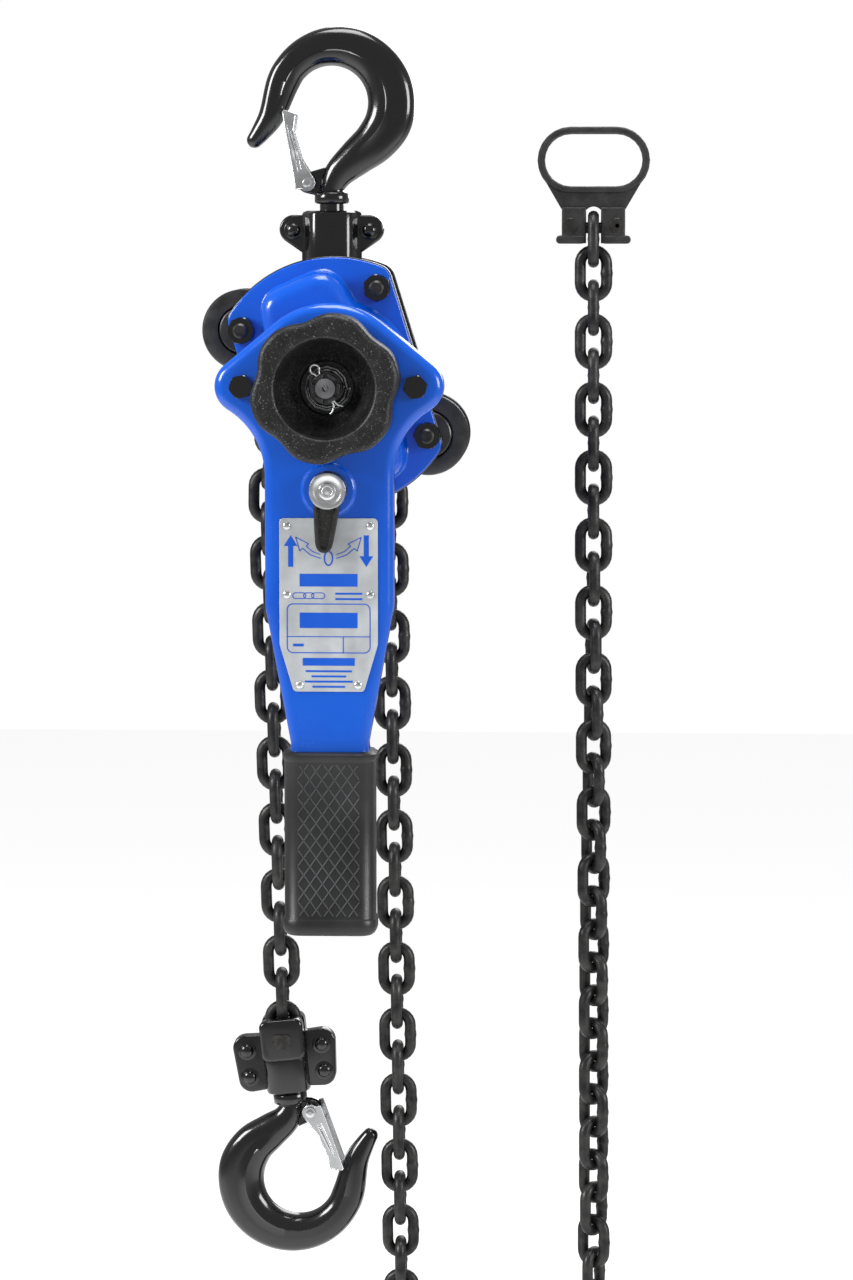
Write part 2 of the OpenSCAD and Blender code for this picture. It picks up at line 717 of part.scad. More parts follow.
hook_steps = 2;
hook_sides = 16;
module hook_body(lift) {
    spine = hook_spine(lift);
    n = (len(spine) - 1) * hook_steps + 1;
    rings = [for (i = [0 : n - 1])
        let (q = along(spine, i / hook_steps),
             d = along(spine, min(i + 1, n - 1) / hook_steps) - along(spine, max(i - 1, 0) / hook_steps),
             t = [d[0], d[1]] / norm([d[0], d[1]]))
        for (k = [0 : hook_sides - 1]) let (
            a = (k + 0.5) * 360 / hook_sides,
            w = q[2] * cos(a),
            h = q[3] * sign(sin(a)) * pow(abs(sin(a)), 0.8))
            [q[0] - t[1] * w, h, q[1] + t[0] * w]];
    skin(rings, n, hook_sides);
}

function latch_pivot(lift) = [-12.4 + lift / 3, -42.3 + lift];
latch_pin_r = 2;
collar_r = 9.1;

module hook_solid(lift = 0) color("black") difference() {
    pivot = latch_pivot(lift);
    union() {
        hook_body(lift);
        slab(-4, 4) polygon([[-2, -33 + lift], [-9, -36.5 + lift], pivot + [-3.4, 4.4],
                             pivot + [-1, -5], [-3, -50 + lift]]);
        rod_at(pivot, 5.4, -4, 4);
        translate([0, 0, -52.7 + lift]) cylinder(r = collar_r, h = 5.3);
        translate([0, 0, -66 + lift]) cylinder(r = hook_shank_r, h = 18.5);
        translate([0, 0, -72 + lift]) cylinder(r = 9, h = 6);
    }
    rod(bowl_r, -20, 20);
    rod_at(pivot, latch_pin_r, -20, 20);
}

module latch_pin(lift = 0) color("silver") {
    rod_at(latch_pivot(lift), latch_pin_r, -10.8, 10.8);
    for (s = [0, 1]) mirror([0, s, 0]) rod_at(latch_pivot(lift), 3, -11.4, -10.4);
}

// The latch: two tapering cheeks beside the hook's boss, joined by a web on the outer side. Its
// tip is at the same place in both hooks, and it is cut back to leave the bowl's full round open.
function latch_tip(lift) = [-12.7 - lift / 3, 37.2 - lift];
module latch(lift = 0) color("silver") {
    pivot = latch_pivot(lift);
    tip = latch_tip(lift);
    translate([pivot[0], 0, pivot[1]]) difference() {
        union() {
            for (s = [0, 1]) mirror([0, s, 0]) slab(-10.3, -8.7) {
                circle(r = 4);
                polygon([[-5.8, -3], tip, tip + [1, 0.8], tip + [7.5, 0.4],
                         tip + [8.5, -1.2], [-3.4, 12.6], [3, 2.5], [0, -4]]);
            }
            slab(-8.8, 8.8) polygon([[-7.3, 6], tip + [0.5, -2.8], tip + [1.8, -2.8], [-5.9, 6]]);
        }
        rod(latch_pin_r + fit, -20, 20);
        translate([-pivot[0], 0, -pivot[1]]) rod(bowl_r + 0.3, -20, 20);
    }
}

module latch_spring(lift = 0) color("silver") for (s = [0, 1]) mirror([0, s, 0])
    translate([latch_pivot(lift)[0], -8.2, latch_pivot(lift)[1]])
        wire([for (a = [0 : 30 : 1080]) [3 * cos(a), 3.6 * a / 1080, 3 * sin(a)]], 0.45);

module top_hook_frame() translate([top_hook_at[0], 0, top_hook_at[1]]) children();
module top_hook() placed() top_hook_frame() hook_solid();
module top_latch_pin() placed() top_hook_frame() latch_pin();
module top_latch() placed() top_hook_frame() latch();
module top_latch_spring() placed() top_hook_frame() latch_spring();

// The bottom hook hangs from the chain pin, leaning a little
last_link = load_strand[load_links - 1];
chain_pin_r = 3.5;
pin_reach = straight + crown_r - wire_r - chain_pin_r - 0.1;
chain_pin_at = last_link[0] + pin_reach * [sin(last_link[1]), -cos(last_link[1])];
hook_drop = 78;
hook_lift = 5;                     // the bottom hook's neck is this much shorter
hook_tilt = 6;
module bottom_frame() translate([chain_pin_at[0], 0, chain_pin_at[1]]) rotate([0, 180 - hook_tilt, 0])
    translate([0, 0, hook_drop]) children();
module bottom_hook() placed() bottom_frame() hook_solid(hook_lift);
module bottom_latch_pin() placed() bottom_frame() latch_pin(hook_lift);
module bottom_latch() placed() bottom_frame() latch(hook_lift);
module bottom_latch_spring() placed() bottom_frame() latch_spring(hook_lift);

// ---------------------------------------------------------------- hook yokes

// Room for the hook's neck and its button head, so that the hook swivels
module swivel_room(lift) translate([0, 0, lift]) {
    translate([0, 0, -68]) cylinder(r = hook_shank_r + fit, h = 20);
    translate([0, 0, -72.2]) cylinder(r = 9 + fit, h = 6.3);
}

// Half of a yoke in the hook's frame: a bulged barrel with flat ears
module yoke_half(side, barrel_r, foot, ears, mouth, lift = 0) color("black") difference() {
    mirror([0, side, 0]) intersection() {
        union() {
            slab(-4, 0) children();
            translate([0, 0, ears]) cylinder(r = barrel_r, h = mouth - ears);
            slab(-12.5, 0) translate([0, foot]) circle(r = barrel_r - 1);
            slab(-12.5, 0) translate([-barrel_r + 1, foot]) square([2 * barrel_r - 2, ears - foot]);
        }
        translate([-60, -13, -120]) cube([120, 13 - yoke_gap, 100]);
    }
    swivel_room(lift);
}

// The top yoke, in the top hook's frame
top_pin_local = top_pin_z - top_hook_at[1];
top_rivets = [for (s = [-1, 1]) [20 * s, -67]];
module top_yoke_half(side) top_hook_frame() difference() {
    yoke_half(side, 13.6, top_pin_local, -76, -56.6) top_yoke_ears();
    rod_at([top_x - top_hook_at[0], top_pin_local], suspension_r + fit, -20, 20);
    for (p = top_rivets) rod_at(p, 3, -20, 20);
}
module top_yoke_ears() hull() {
    for (s = [-1, 1]) translate([20 * s, -66.6]) circle(r = 7.6);
    translate([-11, -82]) square([22, 5]);
}
module top_yoke_front() placed() top_yoke_half(0);
module top_yoke_rear() placed() top_yoke_half(1);

module rivets(spots) color("dimgray") for (p = spots) {
    rod_at(p, 3, -4, 4);
    for (s = [0, 1]) mirror([0, s, 0]) translate([p[0], -4, p[1]]) rotate([90, 0, 0])
        cylinder(r1 = 4.4, r2 = 2.8, h = 2.2);
}
module top_yoke_rivets() placed() top_hook_frame() rivets(top_rivets);

// The bottom yoke, in the bottom hook's frame, with a slot for the last link
bottom_rivets = [for (s = [-1, 1]) each [[20.25 * s, -hook_drop + 4.9], [20.25 * s, -hook_drop + 19.4]]];
module bottom_yoke_half(side) bottom_frame() difference() {
    yoke_half(side, 12.8, -hook_drop, -hook_drop + 9, -hook_drop + 30, hook_lift) bottom_yoke_ears();
    rod_at([0, -hook_drop], chain_pin_r, -20, 20);
    slab(-wire_r - 0.5, wire_r + 0.5) translate([-13, -hook_drop - 20]) square([26, 30.7]);
    slab(-crown_r - wire_r - 0.6, crown_r + wire_r + 0.6)
        translate([-wire_r - 5, -hook_drop - 20]) square([2 * wire_r + 10, 17]);
    for (p = bottom_rivets) rod_at(p, 3, -20, 20);
}
module bottom_yoke_ears() hull() for (x = [-1, 1]) {
    translate([20.8 * x, -hook_drop + 3.5]) circle(r = 7);
    translate([19.4 * x, -hook_drop + 20.7]) circle(r = 7);
}
module bottom_yoke_front() placed() bottom_yoke_half(0);
module bottom_yoke_rear() placed() bottom_yoke_half(1);
module bottom_yoke_rivets() placed() bottom_frame() rivets(bottom_rivets);

module chain_pin() placed() color("dimgray") translate([chain_pin_at[0], 0, chain_pin_at[1]]) {
    rod(chain_pin_r, -12.5, 12.5);
    for (s = [0, 1]) mirror([0, s, 0]) slab(-14.3, -12.5) intersection() {
        circle(r = 5.25);
        square([12, 7.6], center = true);
    }
}

// ---------------------------------------------------------------- end ring

ring_link = slack_strand[slack_links - 1];
ring_pin_r = 3;
ring_pin_z = ring_link[0][1] + half_link - wire_r - 0.1 - ring_pin_r;
ring_at = [ring_link[0][0], ring_pin_z];
ring_half_y = 6;
module ring_frame() translate([ring_at[0], 0, ring_at[1]]) children();

// A stadium-shaped eye, its shoulders drawn in to a slotted neck, in the frame of its pin
module end_ring() placed() color("black") ring_frame() difference() {
    slab(-ring_half_y, ring_half_y) {
        hull() {
            translate([0, 35.4]) rounded(59.3, 35.3, 17.6);
            translate([-16.7, 11]) square([33.4, 1]);
        }
        translate([-16.7, -8.2]) square([33.4, 20]);
        translate([0, -6.2]) rounded(39.4, 4.4, 2.1);
    }
    slab(-10, 10) translate([0, 35.4]) rounded(51.2, 27.1, 13.5);
    slab(-10, 10) {
        translate([-3.9, -14]) square([7.8, 21.3]);
        translate([0, 7.3]) circle(r = 3.9);
    }
    translate([-20, 0, 0]) rotate([0, 90, 0]) cylinder(r = ring_pin_r, h = 40);
    slab(-ring_half_y - 1, -ring_half_y + 1.2) translate([0, 13.8]) rounded(32.6, 6.4, 1.5);
}

module end_ring_pin() placed() color("gray") ring_frame()
    translate([-16.7, 0, 0]) rotate([0, 90, 0]) cylinder(r = ring_pin_r, h = 33.4);

// ---------------------------------------------------------------- the nodes

front_side_plate();
rear_side_plate();
stay_bolts();
stay_nuts();
gear_case();
brake_cover();
sheave_bushes();
chain_stripper();
suspension_pin();
pawl_pins();
ratchet_disc();
brake_pawl_upper();
brake_pawl_lower();
guide_roller_upper();
guide_roller_lower();
drive_shaft();
brake_hub();
friction_discs();
change_gear();
castle_nut();
split_pin();
handwheel();
freewheel_spring();
intermediate_gear_upper();
intermediate_gear_lower();
load_sheave();
load_gear();
sheave_chain();
lever_front_shell();
lever_rear_shell();
lever_bolts();
lever_grip();
rating_plate();
plate_rivets();
selector_knob();
selector_pawl();
selector_screw();
selector_washer();
top_yoke_front();
top_yoke_rear();
top_yoke_rivets();
top_hook();
top_latch_pin();
top_latch();
top_latch_spring();
load_chain_upper();
load_chain_lower();
bottom_yoke_front();
bottom_yoke_rear();
bottom_yoke_rivets();
chain_pin();
bottom_hook();
bottom_latch_pin();
bottom_latch();
bottom_latch_spring();
slack_chain();
tail_chain_lower();
tail_chain_upper();
end_ring();
end_ring_pin();
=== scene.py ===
import json
import math

import bmesh
import bpy
import numpy as np
from mathutils import Matrix, Vector


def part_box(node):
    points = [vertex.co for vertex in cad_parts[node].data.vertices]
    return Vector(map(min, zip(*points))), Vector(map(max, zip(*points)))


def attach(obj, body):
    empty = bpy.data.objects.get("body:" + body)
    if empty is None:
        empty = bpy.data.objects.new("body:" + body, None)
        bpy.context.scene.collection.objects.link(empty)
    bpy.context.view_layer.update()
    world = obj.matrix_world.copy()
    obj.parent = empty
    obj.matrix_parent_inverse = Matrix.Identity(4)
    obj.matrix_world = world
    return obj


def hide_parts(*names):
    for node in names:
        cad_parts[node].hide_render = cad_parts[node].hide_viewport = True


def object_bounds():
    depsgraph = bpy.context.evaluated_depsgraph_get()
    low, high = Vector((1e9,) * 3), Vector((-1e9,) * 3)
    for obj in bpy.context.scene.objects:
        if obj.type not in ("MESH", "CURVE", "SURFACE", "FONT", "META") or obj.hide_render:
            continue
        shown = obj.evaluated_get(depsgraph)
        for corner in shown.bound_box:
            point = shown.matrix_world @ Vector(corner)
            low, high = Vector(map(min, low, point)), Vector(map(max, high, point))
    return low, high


# Looks for the lever chain hoist. Shapes are worked out in millimetres from the drive shaft's
# axis, +X right, +Y to the gear case and +Z up, and placed through the frame.
MM = 0.001
TAU = math.tau

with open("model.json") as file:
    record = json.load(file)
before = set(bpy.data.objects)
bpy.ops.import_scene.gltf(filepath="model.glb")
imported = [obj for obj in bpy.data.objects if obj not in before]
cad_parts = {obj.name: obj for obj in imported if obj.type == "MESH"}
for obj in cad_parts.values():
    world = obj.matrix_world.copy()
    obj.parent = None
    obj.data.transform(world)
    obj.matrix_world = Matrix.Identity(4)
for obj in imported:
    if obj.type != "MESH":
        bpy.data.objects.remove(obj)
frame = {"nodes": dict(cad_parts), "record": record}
CAD_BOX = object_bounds()
JOINTS = {j["name"]: j for j in frame["record"]["behaviour"]["joints"]}


def middle(node):
    """The centre of a CAD node's box."""
    low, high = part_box(node)
    return (Vector(low) + Vector(high)) / 2


SHAFT = middle("brake_hub")
SHAFT.y = 0


# ---------------------------------------------------------------- outlines

def polar(r, degrees):
    a = math.radians(degrees)
    return (r * math.cos(a), r * math.sin(a))


def arc(centre, r, start, end, steps=12):
    return [(centre[0] + p[0], centre[1] + p[1])
            for p in (polar(r, start + (end - start) * i / steps) for i in range(steps + 1))]


def circle(centre, r, steps=48):
    return arc(centre, r, 0, 360, steps)[:-1]


def mirrored(right):
    """A closed outline from its right half, which runs from the bottom to the top."""
    return right + [(-x, z) for x, z in reversed(right)]


def turned(points, degrees):
    c, s = polar(1, degrees)
    return [(x * c - z * s, x * s + z * c) for x, z in points]


def shifted(points, by):
    return [(x + by[0], z + by[1]) for x, z in points]


def hull(points):
    """Convex outline round some points, counter-clockwise."""
    points = sorted(set((round(x, 5), round(z, 5)) for x, z in points))

    def half(run):
        out = []
        for p in run:
            while len(out) > 1 and ((out[-1][0] - out[-2][0]) * (p[1] - out[-2][1])
                                    - (out[-1][1] - out[-2][1]) * (p[0] - out[-2][0])) <= 0:
                out.pop()
            out.append(p)
        return out[:-1]
    return half(points) + half(points[::-1])


def rounded_box(w, h, r):
    x, z = w / 2 - r, h / 2 - r
    return (arc((x, z), r, 0, 90, 6) + arc((-x, z), r, 90, 180, 6)
            + arc((-x, -z), r, 180, 270, 6) + arc((x, -z), r, 270, 360, 6))


def evenly(outline, step):
    """The same closed outline with points about one step apart."""
    ring = np.array(outline + outline[:1])
    run = np.concatenate([[0], np.cumsum(np.hypot(*np.diff(ring, axis=0).T))])
    at = np.linspace(0, run[-1], max(12, round(run[-1] / step)), endpoint=False)
    return list(zip(np.interp(at, run, ring[:, 0]), np.interp(at, run, ring[:, 1])))


def subdivided(outline, parts):
    """The same closed outline with each side cut into equal parts, so that its corners stay."""
    pairs = zip(outline, outline[1:] + outline[:1])
    return [(a[0] + (b[0] - a[0]) * k / parts, a[1] + (b[1] - a[1]) * k / parts)
            for a, b in pairs for k in range(parts)]


def smooth(t):
    u = max(0.0, min(1.0, t))
    return u * u * (3 - 2 * u)


def blend(a, b, t):
    return a + (b - a) * t


def inset(outline, d):
    """The outline moved inwards by d. Past the radius of a corner it would cross itself."""
    p = np.array(outline)
    ahead = np.roll(p, -1, axis=0) - p
    ahead /= np.maximum(np.hypot(*ahead.T), 1e-9)[:, None]
    normal = np.stack([-ahead[:, 1], ahead[:, 0]], axis=1)
    both = normal + np.roll(normal, 1, axis=0)
    both /= np.maximum((both ** 2).sum(axis=1), 0.6)[:, None]
    return [tuple(q) for q in p + 2 * d * both]


def edge(radius, y_side, y_face, steps=5):
    """Profile of a rounded edge: (inset, y) from the side wall to the face.

    y_side only tells on which side of the face the material lies.
    """
    turn = math.copysign(radius, y_face - y_side)
    return [(radius * (1 - math.cos(a)), y_face - turn + turn * math.sin(a))
            for a in (math.pi / 2 * i / steps for i in range(steps + 1))]


# ---------------------------------------------------------------- meshes

class Shape:
    """Vertices and faces, in millimetres until they are placed."""

    def __init__(self):
        self.verts = []
        self.faces = []

    def loft(self, rings, caps=True, loop=False):
        """A skin over closed rings of equal length, capped at both ends unless it loops."""
        start = len(self.verts)
        n = len(rings[0])
        for ring in rings:
            self.verts.extend(Vector(p) for p in ring)
        count = len(rings)
        for i in range(count if loop else count - 1):
            for k in range(n):
                a, b = start + i * n, start + (i + 1) % count * n
                j = (k + 1) % n
                self.faces.append((a + k, a + j, b + j, b + k))
        if caps and not loop:
            self.faces.append(tuple(start + n - 1 - k for k in range(n)))
            self.faces.append(tuple(start + (count - 1) * n + k for k in range(n)))
        return self

    def prism(self, outline, profile):
        """An outline in X and Z lofted along Y through a list of (inset, y)."""
        return self.loft([[(x, y, z) for x, z in inset(outline, d)] for d, y in profile])

    def lathe(self, profile, centre=(0, 0), steps=64, caps=True):
        """A profile of (radius, y) turned about an axis along Y."""
        turn = [polar(1, 360 * k / steps) for k in range(steps)]
        return self.loft([[(centre[0] + r * c, y, centre[1] + r * s) for c, s in turn]
                          for r, y in profile], caps=caps)

    def upright(self, profile, centre=(0, 0), steps=48):
        """A profile of (radius, z) turned about an axis along Z."""
        turn = [polar(1, 360 * k / steps) for k in range(steps)]
        return self.loft([[(centre[0] + r * c, r * s, centre[1] + z) for c, s in turn]
                          for r, z in profile])

    def tube(self, path, radius, sides=12, loop=False):
        """A round bar along a path. radius is a number or one number for each point."""
        path = [Vector(p) for p in path]
        n = len(path)
        radii = radius if isinstance(radius, list) else [radius] * n
        angles = [TAU * k / sides for k in range(sides)]
        side = None
        rings = []
        for i, p in enumerate(path):
            before = path[i - 1] if i or loop else p
            after = path[(i + 1) % n] if i < n - 1 or loop else p
            along = (after - before).normalized()
            if side is None:
                across = (0, 1, 0) if abs(along.y) < 0.9 else (0, 0, 1)
                side = along.cross(Vector(across)).normalized()
            side = (side - along * side.dot(along)).normalized()
            up = along.cross(side)
            rings.append([p + radii[i] * (math.cos(a) * side + math.sin(a) * up) for a in angles])
        return self.loft(rings, loop=loop)

    def moved(self, matrix):
        self.verts = [matrix @ v for v in self.verts]
        return self

    def add(self, other):
        start = len(self.verts)
        self.verts.extend(other.verts)
        self.faces.extend(tuple(start + i for i in f) for f in other.faces)
        return self


def piece(name, shape, material, body, nodes=(), sharp=35, placed=None):
    """Makes the shape an object that rides on a CAD body and stands for some CAD nodes.

    Edges steeper than sharp degrees stay crisp. placed takes the shape's own frame to the row's.
    """
    to_row = placed or Matrix.Translation(SHAFT)
    mesh = bpy.data.meshes.new(name)
    mesh.from_pydata([to_row @ (v * MM) for v in shape.verts], [], shape.faces)
    mesh.validate()
    mesh.shade_smooth()
    mesh.set_sharp_from_angle(angle=math.radians(sharp))
    obj = bpy.data.objects.new(name, mesh)
    bpy.context.scene.collection.objects.link(obj)
    tidy_normals(mesh)
    mesh.materials.append(material)
    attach(obj, body)
    if nodes:
        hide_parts(*nodes)
    return obj


def tidy_normals(mesh):
    """Turns every face outwards."""
    work = bmesh.new()
    work.from_mesh(mesh)
    bmesh.ops.recalc_face_normals(work, faces=work.faces)
    work.to_mesh(mesh)
    work.free()


# ---------------------------------------------------------------- materials

class Nodes:
    """A material's node tree, with short calls for what every finish here uses."""

    def __init__(self, name):
        self.material = bpy.data.materials.new(name)
        self.material.use_nodes = True
        self.tree = self.material.node_tree
        self.shader = self.tree.nodes["Principled BSDF"]
        self.coords = self.make("ShaderNodeTexCoord").outputs["Object"]

    def make(self, kind, **values):
        node = self.tree.nodes.new(kind)
        for key, value in values.items():
            setattr(node, key, value)
        return node

    def link(self, a, b):
        self.tree.links.new(a, b)

    def noise(self, scale, detail=4.0, stretch=(1, 1, 1)):
        """Noise from 0 to 1 that stays with the object. scale is in patches to a metre."""
        mapping = self.make("ShaderNodeMapping")
        mapping.inputs["Scale"].default_value = stretch
        self.link(self.coords, mapping.inputs["Vector"])
        node = self.make("ShaderNodeTexNoise")
        node.inputs["Scale"].default_value = scale
        node.inputs["Detail"].default_value = detail
        self.link(mapping.outputs["Vector"], node.inputs["Vector"])
        return node.outputs["Fac"]

    def spread(self, value, low, high, out_low=0.0, out_high=1.0):
        """Stretches low to high over out_low to out_high, and cuts off what lies outside."""
        node = self.make("ShaderNodeMapRange")
        for key, v in (("From Min", low), ("From Max", high), ("To Min", out_low), ("To Max", out_high)):
            node.inputs[key].default_value = v
        self.link(value, node.inputs["Value"])
        return node.outputs["Result"]

    def mix(self, factor, a, b):
        node = self.make("ShaderNodeMix", data_type="RGBA")
        self.link(factor, node.inputs["Factor"])
        for socket, value in ((node.inputs[6], a), (node.inputs[7], b)):
            if isinstance(value, tuple):
                socket.default_value = (*value, 1)
            else:
                self.link(value, socket)
        return node.outputs[2]

    def times(self, a, b):
        node = self.make("ShaderNodeMath", operation="MULTIPLY")
        self.link(a, node.inputs[0])
        self.link(b, node.inputs[1])
        return node.outputs[0]

    def edge_wear_and_highlight(self, low=0.53, high=0.6):
        """1 on broken stretches of the convex edges, 0 elsewhere. It lays on wear, and on black cast iron
        also a painted edge highlight.
        """
        geometry = self.make("ShaderNodeNewGeometry")
        # Convex edges picked out for wear and, on cast iron, for a painted edge highlight.
        wear_and_highlight = self.spread(geometry.outputs["Pointiness"], low, high)
        return self.times(wear_and_highlight, self.spread(self.noise(220), 0.42, 0.6))

    def bump(self, height, strength, distance=0.0004):
        node = self.make("ShaderNodeBump")
        node.inputs["Strength"].default_value = strength
        node.inputs["Distance"].default_value = distance
        self.link(height, node.inputs["Height"])
        self.link(node.outputs["Normal"], self.shader.inputs["Normal"])

    def finish(self, colour, roughness, metallic=0.0, coat=0.0):
        self.link(colour, self.shader.inputs["Base Color"])
        self.link(roughness, self.shader.inputs["Roughness"])
        self.shader.inputs["Metallic"].default_value = metallic
        self.shader.inputs["Coat Weight"].default_value = coat
        self.shader.inputs["Coat Roughness"].default_value = 0.06
        return self.material


def enamel(name, dark, light, roughness, coat, orange_peel=0.05):
    """Sprayed gloss paint: a slow drift of colour, orange peel and dust in its polish."""
    n = Nodes(name)
    colour = n.mix(n.spread(n.noise(14), 0.35, 0.65), dark, light)
    n.bump(n.noise(900, 2), orange_peel, 0.0002)
    polish = n.spread(n.noise(60, 6), 0.3, 0.7, roughness * 0.75, roughness * 1.35)
    return n.finish(colour, polish, coat=coat)


def cast_black(name, base, wear_and_highlight=(0.16, 0.16, 0.165), grain=700, depth=0.55, dull=0.5):
    """Black cast iron: a grainy skin with pale specks painted in as glints, and grey along its edges, which
    is partly wear and partly a painted edge highlight.
    """
    n = Nodes(name)
    skin = n.mix(n.spread(n.noise(120, 6), 0.4, 0.7), base, tuple(c * 2.2 for c in base))
    # Pale specks painted into the colour as glints of the grainy skin.
    painted_glints = n.mix(n.spread(n.noise(grain * 2, 2), 0.64, 0.72), skin, wear_and_highlight)
    # Convex edges painted grey: partly wear, partly a painted edge highlight.
    colour = n.mix(n.edge_wear_and_highlight(), painted_glints, wear_and_highlight)
    n.bump(n.noise(grain, 5), depth, 0.0005)
    return n.finish(colour, n.spread(n.noise(200), 0.3, 0.7, dull * 0.8, dull * 1.2), metallic=0.1)


def chain_steel(name):
    """Blackened alloy chain: grey-brown scale, faint drawing marks and rubbed crowns."""
    n = Nodes(name)
    scale = n.mix(n.spread(n.noise(160, 8), 0.35, 0.7), (0.018, 0.018, 0.019), (0.06, 0.058, 0.056))
    colour = n.mix(n.edge_wear_and_highlight(0.55, 0.66), scale, (0.13, 0.13, 0.13))
    n.bump(n.noise(800, 6), 0.35, 0.0003)
    return n.finish(colour, n.spread(n.noise(260, 5), 0.3, 0.7, 0.3, 0.52), metallic=0.55)


def bright_steel(name, base=(0.6, 0.61, 0.62), roughness=0.28, stretch=(1, 1, 1), metallic=1.0):
    """Zinc plate or bare metal, a little cloudy. Unequal stretch brushes it along one axis."""
    n = Nodes(name)
    cloud = n.mix(n.spread(n.noise(70, 6), 0.35, 0.65), base, tuple(c * 0.78 for c in base))
    n.bump(n.noise(500, 3, stretch), 0.03, 0.0002)
    polish = n.spread(n.noise(180, 5, stretch), 0.3, 0.7, roughness * 0.7, roughness * 1.4)
    return n.finish(cloud, polish, metallic)


def moulded(name, base, roughness=0.55, grain=1200):
    """Moulded rubber or plastic with a fine leathery grain."""
    n = Nodes(name)
    colour = n.mix(n.spread(n.noise(50, 5), 0.35, 0.7), base, tuple(c * 1.7 + 0.002 for c in base))
    n.bump(n.noise(grain, 3), 0.3, 0.0003)
    sheen = n.spread(n.noise(90), 0.3, 0.7, roughness * 0.85, roughness * 1.15)
    return n.finish(colour, sheen)


BLUE = enamel("blue_enamel", (0.0, 0.085, 0.58), (0.0, 0.11, 0.68), 0.22, 0.4)
BLACK = enamel("black_enamel", (0.003, 0.003, 0.0035), (0.006, 0.006, 0.0065), 0.18, 0.6, 0.12)
CAST = cast_black("black_cast", base=(0.006, 0.006, 0.0065), wear_and_highlight=(0.2, 0.195, 0.19), depth=0.7, dull=0.42)
KNOB = cast_black("knob_black", base=(0.007, 0.0065, 0.006), grain=1100, depth=0.4)
RING = cast_black("ring_cast", base=(0.016, 0.016, 0.0165), wear_and_highlight=(0.03, 0.03, 0.03), grain=500)
CHAIN = chain_steel("chain_steel")
ZINC = bright_steel("zinc_plate", (0.9, 0.91, 0.92), 0.24)
STEEL = bright_steel("machined_steel", (0.34, 0.34, 0.35), 0.36)
BLACKENED = cast_black("blackened_steel", (0.012, 0.012, 0.011), (0.05, 0.045, 0.04), 300, 0.06, 0.36)
TURNED = bright_steel("turned_steel", (0.11, 0.11, 0.115), 0.34)
LINING = moulded("friction_lining", (0.2, 0.12, 0.06), 0.8, 400)
BRONZE = bright_steel("bronze", (0.5, 0.32, 0.12), 0.4)
RUBBER = moulded("grip_rubber", (0.012, 0.012, 0.0125), 0.36)
# The grip's ribs are coloured a paler grey than the rest of the grip.
RIDGE = moulded("pale_rib_rubber", (0.05, 0.052, 0.054), 0.4)
PLATE = bright_steel("brushed_aluminium", (0.62, 0.65, 0.67), 0.5, (1, 1, 0.03), metallic=0.35)
INK = enamel("plate_ink", (0.0, 0.09, 0.6), (0.0, 0.11, 0.66), 0.4, 0.1)

SLOT_FINISH = {
    "black_paint": BLACK, "blue_enamel": BLUE, "black_cast": CAST, "chain_steel": CHAIN, "zinc": ZINC,
    "machined_steel": STEEL, "dark_steel": BLACKENED, "friction": LINING, "bronze": BRONZE,
    "rubber": RUBBER, "aluminium_plate": PLATE,
}
NODE_SLOT = {s["node"]: s["material_slot"] for s in frame["record"]["subparts"]}


def finish_cad():
    """Every CAD node gets its slot's finish and softened edges. Most are replaced by a piece later."""
    for name, obj in frame["nodes"].items():
        obj.data.materials.clear()
        obj.data.materials.append(SLOT_FINISH[NODE_SLOT[name]])
        bevel = obj.modifiers.new("softened", "BEVEL")
        bevel.width = 0.0003
        bevel.segments = 2
        bevel.limit_method = "ANGLE"
        bevel.angle_limit = math.radians(40)
        bevel.harden_normals = False


# ---------------------------------------------------------------- chain

# A link's wire radius, and along the wire's centre the radius of its ends and half its straight leg.
WIRE = 3.0
CROWN = 6.95
STRAIGHT = 5.15


def link_shape(leg_steps=8, end_steps=12):
    """A welded link lying in X and Z, its length along Z, with the weld's bulge on one leg."""
    leg = [(CROWN, -STRAIGHT + 2 * STRAIGHT * i / leg_steps) for i in range(leg_steps)]
    half = leg + arc((0, STRAIGHT), CROWN, 0, 180, end_steps)[:-1]
    path = half + turned(half, 180)
    radii = [WIRE] * len(path)
    weld = len(half) + leg_steps // 2
    for at, extra in ((-1, 0.16), (0, 0.34), (1, 0.16)):
        radii[weld + at] += extra
    return Shape().tube([(x, 0, z) for x, z in path], radii, 14, loop=True)


def link_points(node):
    """The points of each link of a CAD chain. Points that coincide or share an edge go together."""
    mesh = frame["nodes"][node].data
    points = np.array([v.co for v in mesh.vertices])
    owner = list(range(len(points)))

    def root(i):
        while owner[i] != i:
            owner[i] = owner[owner[i]]
            i = owner[i]
        return i

    same = {}
    for i, p in enumerate(points):
        key = tuple(np.round(p * 1e5).astype(int))
        owner[root(i)] = root(same.setdefault(key, i))
    for e in mesh.edges:
        owner[root(e.vertices[0])] = root(e.vertices[1])
    groups = {}
    for i in range(len(points)):
        groups.setdefault(root(i), []).append(i)
    return [points[g] for g in groups.values()]


def link_matrix(points):
    """Where a link sits: its centre, and its wide, thin and long axes from the spread of its points."""
    centre = (points.min(axis=0) + points.max(axis=0)) / 2
    axes = np.linalg.eigh(np.cov((points - centre).T))[1]
    wide, long_ = axes.T[1:]
    # An axis comes out with either sign. These two tests settle which, so that all welds agree.
    if long_[2] < 0:
        long_ = -long_
    if wide[0] + 0.3 * wide[1] > 0:
        wide = -wide
    thin = np.cross(long_, wide)
    turn = Matrix(np.column_stack([wide, thin, long_]).tolist()).to_4x4()
    return Matrix.Translation(Vector(centre) / MM) @ turn


